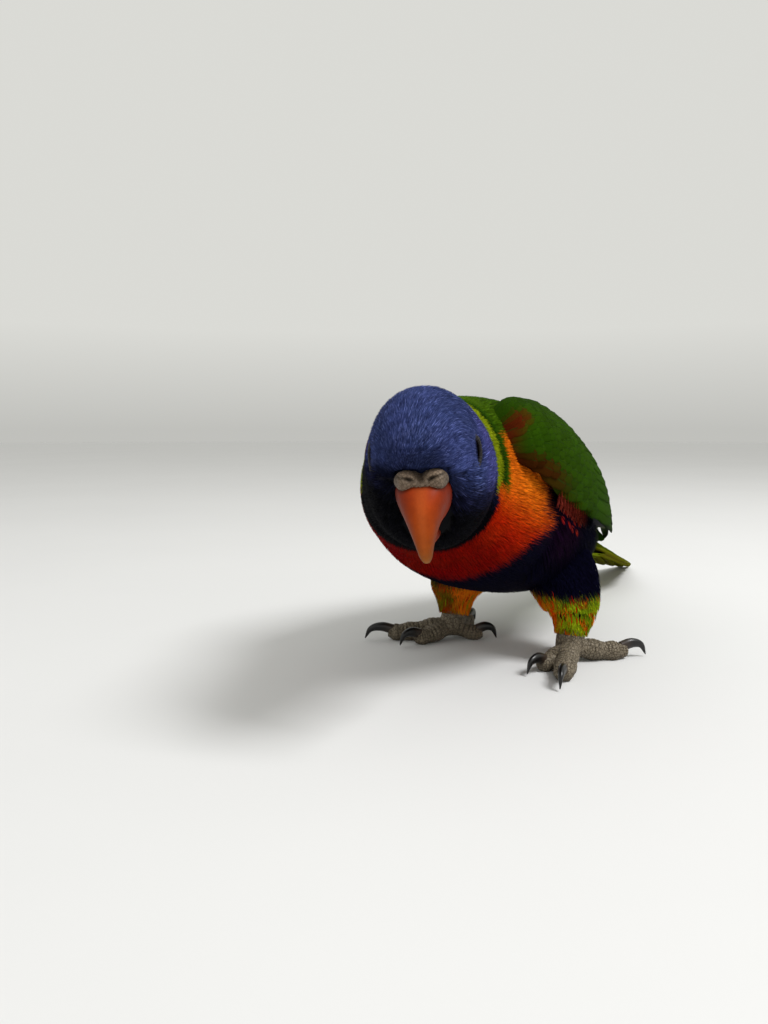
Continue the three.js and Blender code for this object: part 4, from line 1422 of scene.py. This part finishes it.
def speck_ink(t, angle):
    return plain("rose", t) * 0.5


for name, side in SIDES:
    span = ((5.0 / STATIONS, 8.3 / STATIONS), one_side(side, 1.55, 2.3))
    coat(f"flank_feathers_{name}", body, sow(body, TUFTS["flank"], span), span, "thigh_blue",
         (9.5, 1.5, 0.15), body_markings, lift=(-1.2, 1.3), sweep=side * FLANK_SWEEP, paint=ragged_edges)
    span = ((7.2 / STATIONS, 8.3 / STATIONS), one_side(side, 1.42, 1.75))
    coat(f"flank_specks_{name}", body, sow(body, TUFTS["specks"], span), span, "breast_red",
         (2.6, 0.6, 0.13), speck_ink, lift=(0.5, 1.2), sweep=side * FLANK_SWEEP)

# %% [markdown]
# ## The bend of the wing
# Small soft feathers wrap the front of the wing where it meets the breast. They are dark red there, and
# darkened nearly to brown by painted shade beside the breast.

# %% Bend feathers
def wing_face(side, widest):
    """The outer face of a wing as a surface, read no further across than widest."""
    return lambda s, k: on_wing(s, np.clip(k, 0, widest), np.zeros(len(s)), side)[0]


def bend_ink(s, k):
    colour = mixed(plain("brown_red", s), "green", 1 - ease(k, 0.16, 0.3))
    colour = mixed(colour, "green", ease(s, 0.12, 0.15) * (1 - ease(k, 0.5, 0.7)))
    # Painted shade: darker towards the wing's lower edge, beside the breast.
    return colour * (1 - 0.55 * ease(k, 0.66, 0.82))[:, None]


span = ((0.0, 0.16), (0.02, 1.0))
for name, side in SIDES:
    surface = wing_face(side, widest=1)
    coat(f"bend_feathers_{name}", surface, sow(surface, TUFTS["bend"], span), span, "wing_green",
         (4.4, 1.1, 0.13), bend_ink, flow=1, lift=(0.4, 1.6), paint=ragged_edges)

# %% [markdown]
# The wing's lining shows along its lower edge as a few loose feathers, yellow and salmon.

# %% Lining feathers
def lining_ink(s, k):
    """Yellow along the green edge and salmon below it. Both ends blend into the wing and the flank."""
    colour = mixed(plain("gold", s) * 0.45, "salmon", ease(k, 1.01, 1.03)) * 0.85
    ends = np.maximum(ease(s, 0.32, 0.38), 1 - ease(s, 0.2, 0.24))
    hanging = ease(k, 1.0, 1.02)
    colour = mixed(colour, "green", 0.6 * ends * (1 - hanging))
    return mixed(colour, "belly", ends * hanging)


def lining_streaks(base, lane, tuft):
    return base * (0.6 + 0.4 * tuft)[:, None]


span = ((0.2, 0.38), (0.98, 1.09))
for name, side in SIDES:
    surface = wing_face(side, widest=2)
    coat(f"lining_feathers_{name}", surface, sow(surface, TUFTS["lining"], span), span, "breast_red",
         (4.2, 1.1, 0.16), lining_ink, flow=1, lift=(-0.7, 0.5), sweep=-0.05, paint=lining_streaks)

# %% [markdown]
# ## Bare skin: cere and eye rings
# The cere is the soft band over the bill, swollen on both sides round the nostrils. It is melted from three
# rounded forms like the skin, then creased by moving its points. Its colour carries the painted shade and
# highlights of that relief.

# %% Cere
def ball(centre, radii):
    """A closed rounded form with its poles along the bird."""
    def surface(t, angle):
        polar = (0.02 + 0.96 * t) * np.pi
        around = np.sin(polar)
        shape = np.column_stack([around * np.cos(angle), -np.cos(polar), around * np.sin(angle)])
        return np.array(centre) + shape * np.array(radii)
    return rings_of(surface, 24, 32)[:2]


bare_skin = scaled_material("bare_skin", 1500.0, (0.45, 0.42, 0.4), (0.65, 0.45), 0.00012, 0.5,
                            Specular_IOR_Level=0.2)
shells = [ball(on_head(13.4, -0.2, 0), (5.3, 5.9, 2.5))]
for _, side in SIDES:
    shells.append(ball(on_head(16.9, 0.3, side * 2.9), (2.5, 2.4, 2.1)))
cere_points, cere_triangles = melted(shells, voxel=0.2, smoothing=4)
_, cere_u = head_place(cere_points)
cere_x = cere_points[:, 0]
out = np.abs(cere_x)
line = cere_u - 0.75 - 0.3 * (out - 2.3)  # a crease slants up and out over each swelling, from its nostril
notch = hump(cere_x, 0.85) * ease(cere_u, -0.8, 1.2)
nostril = np.exp(-(((out - 2.1) / 0.8) ** 2) - (line / 0.42) ** 2)
crease = hump(line, 0.26) * ease(out, 1.6, 2.4) * (1 - ease(out, 4.2, 5))
rim = hump(line - 0.75, 0.4) * ease(out, 0.6, 1.6)
wrinkles = np.sin(cere_x * 7.3 + 2 * np.sin(cere_u * 2.9)) * np.sin(cere_u * 8.7 + 1.4 * cere_x)
sunk = notch + 0.75 * nostril + 0.35 * crease - 0.2 * rim - 0.08 * wrinkles + 0.7 * ease(out, 3.8, 5.2)
cere_points[:, 1] += sunk
cere_points[:, 2] -= 0.7 * notch
# Painted light: shade in the nostrils, creases and middle notch, under the swellings and towards the sides; a
# painted highlight on the rim over each crease; lighter and darker along the wrinkles.
shade = (1 - 0.8 * nostril) * (1 - 0.5 * crease) * (1 - 0.35 * notch)
shade *= (1 + 0.3 * rim) * (1 + 0.16 * wrinkles)
shade *= (0.4 + 0.6 * ease(cere_u, -2.1, -0.7)) * (1 - 0.45 * ease(out, 3.9, 5.3))
cere_ink_with_painted_light = linear(114, 98, 82) * np.clip(shade, 0.12, 1.6)[:, None]
piece("cere", cere_points, cere_triangles, bare_skin, "cere_grey", cere_ink_with_painted_light, nodes=["cere"])

# %% [markdown]
# A ring of dark, finely scaled skin lies round each eye. The eyeball will use the same axis, so one function
# gives it to both.

# %% Eye rings
EYE_TURN = math.radians(18)  # how far each eye looks forward
LID_OUT = 2.7  # from the eye's node to its ring


def eye_frame(side, out):
    """A place on an eye's axis, the way the eye looks, and a function for the ways square to it."""
    c, s = math.cos(EYE_TURN), math.sin(EYE_TURN)
    centre = on_head(EYE["f"], EYE["u"], side * (EYE["out"] + out))
    level = np.array([side * s, c, 0])

    def radial(turn):
        return level * np.cos(turn)[:, None] + np.array([0, 0, 1.0]) * np.sin(turn)[:, None]

    return centre, np.array([side * c, -s, 0]), radial


def lid(side, turn, angle):
    """Places on a soft ring with fine folds: turn round the eye, and angle round the ring's own middle."""
    centre, way, radial = eye_frame(side, LID_OUT)
    outwards = radial(turn)
    fold = 0.08 * np.sin(turn * 23) + 0.06 * np.sin(turn * 37)
    size = 0.55 + 0.6 * fold
    middle = centre + outwards * (3.2 + 0.1 * np.cos(2 * turn))[:, None]
    wide, high = np.cos(angle) * size, np.sin(angle) * size * 0.8
    return middle + outwards * wide[:, None] + way * high[:, None]


for name, side in SIDES:
    rings, sides = 160, 14
    t, angle = pairs(np.arange(rings) / rings, np.arange(sides) / sides * 2 * np.pi)
    points = lid(side, t * 2 * np.pi, angle)
    a = np.arange(rings * sides).reshape(rings, sides)
    b, c = np.roll(a, -1, axis=0), np.roll(a, -1, axis=1)
    d = np.roll(b, -1, axis=1)
    order = (a, b, d, a, d, c) if side < 0 else (a, d, b, a, c, d)
    triangles = np.stack(order, axis=-1).reshape(-1, 3)
    # Painted light: each ring is lighter on its outward face and darker on its side towards the skull.
    shade = np.tile(linear(24, 21, 25), (len(points), 1)) * (0.8 + 0.3 * np.sin(angle))[:, None]
    piece(f"eye_ring_{name}", points, triangles, bare_skin, "cere_grey", shade)

# %% [markdown]
# ## The bill
# The upper bill is one smooth curve of horn with a blunt tip. A short lower bill lies close under it. Both
# are read from tables like the body's.

# %% The bill's outlines
# Rows as in the body's table, with places given forward of the skull's middle and above it.
UPPER_BILL = [head_row(*row) for row in (
    ((10, 0.6), (5, -10), 5.8, -0.3), ((14.5, 1), (9, -10.2), 5.7, -0.3),
    ((18.1, -0.2), (12.6, -10.2), 4.9, -0.25),
    ((20.4, -2.8), (14.8, -10.4), 3.9, -0.15), ((21.6, -6.3), (16, -11), 2.95, 0),
    ((21.3, -10.1), (16.4, -12), 2.2, 0.05), ((19.9, -13.2), (16.4, -13.2), 1.65, 0.05),
    ((18.3, -15.2), (16.3, -14.3), 1.3, 0), ((16.8, -16.3), (15.9, -15.5), 0.8, 0))]
LOWER_BILL = [head_row(*row) for row in (
    ((3, -10.2), (1.5, -13.4), 3, -0.2), ((8, -10.4), (6, -14), 2.6, -0.2),
    ((11.2, -10.7), (9.8, -14.1), 2, -0.2), ((13.7, -11.2), (12.9, -13.5), 1.4, -0.1),
    ((14.8, -12.1), (14.3, -12.8), 0.7, 0))]
print("stations of the upper and the lower bill:", len(UPPER_BILL), len(LOWER_BILL))

# %% [markdown]
# The bill is orange red at its root and ochre at its tip, with a faint painted highlight along the ridge of
# its top. It is darker on its sides, and painted darker as shade where it comes out from under the cere. Each
# point of the mesh carries its colour, and the material adds growth lines and a soft polish.

# %% Colour and build the bill
horn = grained_material("bill_horn", 420.0, (0.68, 1.32), (0.36, 0.62), 0.00016, 0.6,
                        Specular_IOR_Level=0.08, Coat_Weight=0.04, Coat_Roughness=0.3)
BILL_INKS = [linear(*ink) for ink in ((114, 26, 7), (146, 44, 7), (154, 58, 5), (146, 68, 4), (132, 80, 6))]
PAINTED_HIGHLIGHT_INK = linear(204, 104, 48)
BILL_SIDES = 48
cere_near = finder(cere_points)

for name, table, rings in (("bill_upper", UPPER_BILL, 70), ("bill_lower", LOWER_BILL, 40)):
    points, triangles, t = rings_of(lambda t, a: profile(table, t, a), rings, BILL_SIDES)
    turn = np.append(np.tile(np.arange(BILL_SIDES) / BILL_SIDES * 2 * np.pi, rings), [np.pi, np.pi])
    ink = smooth(BILL_INKS, t if name == "bill_upper" else t * 0.5)
    width = np.maximum(np.interp(t, np.linspace(0, 1, len(table)), [row[4] for row in table]), 0.5)
    # A painted highlight along the top of the bill.
    ridge = hump(np.minimum(turn, 2 * np.pi - turn), 0.3) * ease(t, 0.15, 0.3) * (1 - ease(t, 0.5, 0.9))
    ink = mixed(ink, PAINTED_HIGHLIGHT_INK, 0.28 * ridge)
    ink *= (1 - 0.55 * np.clip(np.abs(points[:, 0]) / width, 0, 1) ** 3)[:, None]
    # Painted shade where the bill comes out from under the cere.
    shaded = np.array([cere_near.find(point)[2] for point in points])
    ink *= (0.35 + 0.65 * ease(shaded, 0.05, 0.9))[:, None]
    piece(name, points, triangles, horn, "bill_orange", ink, nodes=[name])

# %% [markdown]
# ## Eyes
# The eye is a ball with a slightly raised clear front. The iris is red-brown with a paler ring outside, and
# the pupil is black. Colours lie in rings round the eye's axis, so they go on the mesh by that distance.

# %% Eyeballs
eye_gloss = grained_material("eye", 2400.0, (0.55, 1.45), Roughness=0.14, Specular_IOR_Level=0.2,
                             Coat_Weight=0.2, Coat_Roughness=0.05)
PUPIL, IRIS, SUNK = 1.25, 2.6, 1.5  # two radii, and how far the ball lies inside its node
IRIS_INKS = linear(66, 16, 6), linear(128, 40, 14)
for name, side in SIDES:
    centre, way, radial = eye_frame(side, -SUNK)

    def eye_surface(t, angle):
        polar = (0.002 + 0.996 * t) * np.pi
        out = np.cos(polar)[:, None] * way
        bulge = 1 + 0.05 * hump(polar, 0.5)
        return centre + (out + radial(angle) * np.sin(polar)[:, None]) * (EYE["radius"] * bulge)[:, None]

    points, triangles, _ = rings_of(eye_surface, 90, 48)
    offset = points - centre
    from_axis = np.linalg.norm(offset - (offset @ way)[:, None] * way, axis=1)
    colour = np.tile(linear(16, 10, 9), (len(points), 1))
    iris = ease(from_axis, PUPIL - 0.05, PUPIL + 0.08) * (1 - ease(from_axis, IRIS - 0.1, IRIS + 0.05))
    ring = mixed(*IRIS_INKS, ease(from_axis, 1.5, 2.5))
    colour = mixed(colour, ring, iris * (offset @ way > 0))
    piece(f"eyeball_{name}", points, triangles, eye_gloss, "eye_red", colour, nodes=[f"eye_{name}"])

# %% [markdown]
# ## Feet
# A parrot's foot has two toes in front and two behind. Each toe is a limb along a low arch, a little
# thicker at its joints.

# %% Toes
# Each toe: degrees outwards from straight ahead, length, half thickness, and reach of its claw.
TOES = {"outer_front": (12, 20.5, 2.9, 9), "inner_front": (-16, 14.5, 2.6, 7.5),
        "outer_hind": (132, 17.5, 2.8, 8), "inner_hind": (-152, 9.5, 2.4, 6)}
TOE_AT, TOE_HEIGHT = (0, 0.3, 0.62, 0.86, 1), (1.6, 1.25, 0.9, 0.82, 0.9)
TOE_GIRTH = (1.12, 1.02, 1, 0.92, 0.6)
PHALANX = 5.6  # from one toe joint to the next


def foot_point(side, forward, out, height):
    name = "left" if side > 0 else "right"
    x, y = FOOT[name]
    turn = FOOT_TURN[name] * side
    fx, fy = math.sin(turn), -math.cos(turn)
    return x + fx * forward - fy * out * side, y + fy * forward + fx * out * side, FLOOR + height


def along_toe(side, toe, distance, height):
    angle = math.radians(TOES[toe][0])
    return foot_point(side, math.cos(angle) * distance, math.sin(angle) * distance, height)


def toe_surface(side, toe):
    _, long, thick, _ = TOES[toe]
    share = np.linspace(0, 1, 25)
    path = smooth([along_toe(side, toe, long * t, thick * h) for t, h in zip(TOE_AT, TOE_HEIGHT)], share)
    joints = 1 + 0.09 * np.cos(2 * np.pi * share * long / PHALANX)
    girths = smooth([(g * thick, g * thick) for g in TOE_GIRTH], share) * joints[:, None]
    return path, lambda t, angle: limb(path, girths, t, angle)


print("toes:", {toe: f"{long} mm long" for toe, (_, long, _, _) in TOES.items()})

# %% [markdown]
# The skin is grey, with broad scutes over the top of each toe and small scales on its sides. Shank and toes
# are melted into one form. Then the grooves between scutes are pressed in by the distance along each toe.
# Its colour carries painted shade in the grooves and on the undersides, and painted light on the knobs.

# %% Feet with scutes
foot_skin = scaled_material("foot_skin", 1150.0, (0.4, 0.37, 0.34), (0.75, 0.5), 0.00024, 0.8,
                            Specular_IOR_Level=0.25)
SCUTE = 1.15  # from one groove between scutes to the next
for name, side in SIDES:
    shank = [foot_point(side, 0, 0, 3.6), foot_point(side, -0.6, 0, 8), foot_point(side, -1.5, 0, 15)]
    shells = [rings_of(lambda t, a: limb(shank, [(4.2, 4.3), (3.9, 4.1), (3, 3)], t, a), 24, 24)[:2]]
    lines, distances = [], []
    for toe, (_, long, _, _) in TOES.items():
        path, surface = toe_surface(side, toe)
        shells.append(rings_of(surface, 40, 24)[:2])
        lines.append(smooth(path, np.linspace(0.1, 1, 60)))
        distances.append(np.linspace(0.1, 1, 60) * long)
    lines.append(smooth(shank, np.linspace(0, 1, 60)))
    distances.append(np.linspace(0, 12, 60))
    points, triangles = melted(shells, voxel=0.3, smoothing=2)
    lines, distances = np.vstack(lines), np.concatenate(distances)
    gap = np.linalg.norm(points[:, None] - lines[None], axis=2)
    nearest_line = gap.argmin(axis=1)
    way = unit(points - lines[nearest_line])
    top = ease(way[:, 2], -0.1, 0.5)
    phase = distances[nearest_line] / SCUTE
    groove = hump(phase % 1 - 0.5, 0.15)
    knob = mottled(points, (6.1, 4.7, 5.3), (-4.9, 6.3, 3.9))
    points = points + way * (-0.32 * groove * (0.25 + 0.75 * top) + knob * (0.15 - 0.08 * top))[:, None]
    points[:, 2] = np.maximum(points[:, 2], FLOOR + 0.02)
    ink = np.tile(linear(124, 113, 95), (len(points), 1))
    # Painted light: darker in the grooves and underneath, lighter on the raised knobs.
    ink *= (1 - 0.5 * groove * (0.4 + 0.6 * top) - 0.25 * ease(-way[:, 2], 0.2, 0.9) + 0.12 * knob)[:, None]
    piece(f"foot_{name}", points, triangles, foot_skin, "toe_grey", ink, nodes=[f"foot_{name}"])

# %% [markdown]
# ## Claws
# Each claw is a curved cone of dark horn, glossy, browner at its root.

# %% Claws
claw_horn = grained_material("claw_horn", 700.0, (0.7, 1.35), (0.26, 0.46), 0.00008, 0.3,
                             Specular_IOR_Level=0.35, Coat_Weight=0.2, Coat_Roughness=0.16)
CLAW_AT, CLAW_HEIGHT = (0, 0.42, 0.8, 1), (3.3, 4.3, 3.6, 0.75)
CLAW_GIRTH = [(1.25, 1.6), (1.1, 1.45), (0.75, 0.95), (0.16, 0.16)]
CLAW_INKS = linear(54, 42, 34), linear(11, 9, 9)
for name, side in SIDES:
    for toe, (_, long, _, reach) in TOES.items():
        path = [along_toe(side, toe, long - 1.6 + reach * a, h) for a, h in zip(CLAW_AT, CLAW_HEIGHT)]
        points, triangles, t = rings_of(lambda t, a: limb(path, CLAW_GIRTH, t, a), 36, 24)
        ink = mixed(*CLAW_INKS, ease(t, 0, 0.4))
        node_name = f"claw_{name}_{toe}"
        piece(node_name, points, triangles, claw_horn, "claw_black", ink, nodes=[node_name])

# %% [markdown]
# ## Floor and light
# The bird stands on a plain pale floor, a wide disc that reaches past the picture's edges.

# %% Floor
FLOOR_REACH, CORNERS = 4, 96  # metres from its middle to its rim, and corners of the rim
stage_paper, tree, shader = new_material("floor_paper", Roughness=0.9, Specular_IOR_Level=0.1)
paper = remapped(tree, noise(tree, 6.0, 4.0), 0.69, 0.73)
pale = node(tree, "ShaderNodeCombineColor", {0: paper, 1: paper, 2: paper})
tree.links.new(pale.outputs[0], shader.inputs["Base Color"])
corner = np.arange(CORNERS)
turn = corner / CORNERS * 2 * np.pi
rim = np.column_stack([np.cos(turn) * FLOOR_REACH, np.sin(turn) * FLOOR_REACH, np.zeros(CORNERS)])
floor_points = np.vstack([rim, [[0, 0, 0]]])
floor_triangles = np.column_stack([np.full(CORNERS, CORNERS), corner, (corner + 1) % CORNERS])
floor = bpy.data.objects.new("floor", mesh_of("floor", floor_points, floor_triangles))
floor.data.materials.append(stage_paper)
bpy.context.scene.collection.objects.link(floor)
print("the floor reaches", FLOOR_REACH, "m from its middle")

# %% [markdown]
# A large soft lamp hangs high on the right of the picture, as in the photo. A pale sky and a weak lamp from
# the left fill the shadows.

# %% Sky and lamps
SKY_STRENGTH = 0.88
world = bpy.data.worlds.new("pale_room")
world.use_nodes = True
sky = world.node_tree
aim = node(sky, "ShaderNodeSeparateXYZ", {0: node(sky, "ShaderNodeTexCoord").outputs["Generated"]})
height = remapped(sky, aim.outputs[2], 0.6, 0.8, end=0.12)
warm = calculated(sky, "MULTIPLY", height, 0.95)
grey = node(sky, "ShaderNodeCombineColor", {0: height, 1: height, 2: warm})
sky.links.new(grey.outputs[0], sky.nodes["Background"].inputs["Color"])
sky.nodes["Background"].inputs["Strength"].default_value = SKY_STRENGTH
bpy.context.scene.world = world


LIT_AT = Vector((0, -0.06, 0.05))  # where both lamps look


def lamp(name, offset, energy, size):
    """A square soft lamp, offset from the place it looks at. Energy in watts, size in metres."""
    light = bpy.data.lights.new(name, "AREA")
    light.energy, light.size = energy, size
    made = bpy.data.objects.new(name, light)
    made.location = LIT_AT + offset
    made.rotation_euler = (-offset).to_track_quat("-Z", "Y").to_euler()
    bpy.context.scene.collection.objects.link(made)


lamp("key", right * 0.55 + up * 0.75 + back * 0.35, 7.8, 0.35)
lamp("fill", right * -0.6 + up * 0.3 + back * 0.6, 0.3, 0.6)
bpy.context.scene.view_settings.view_transform = "Standard"
print("lamps:", len(bpy.data.lights))
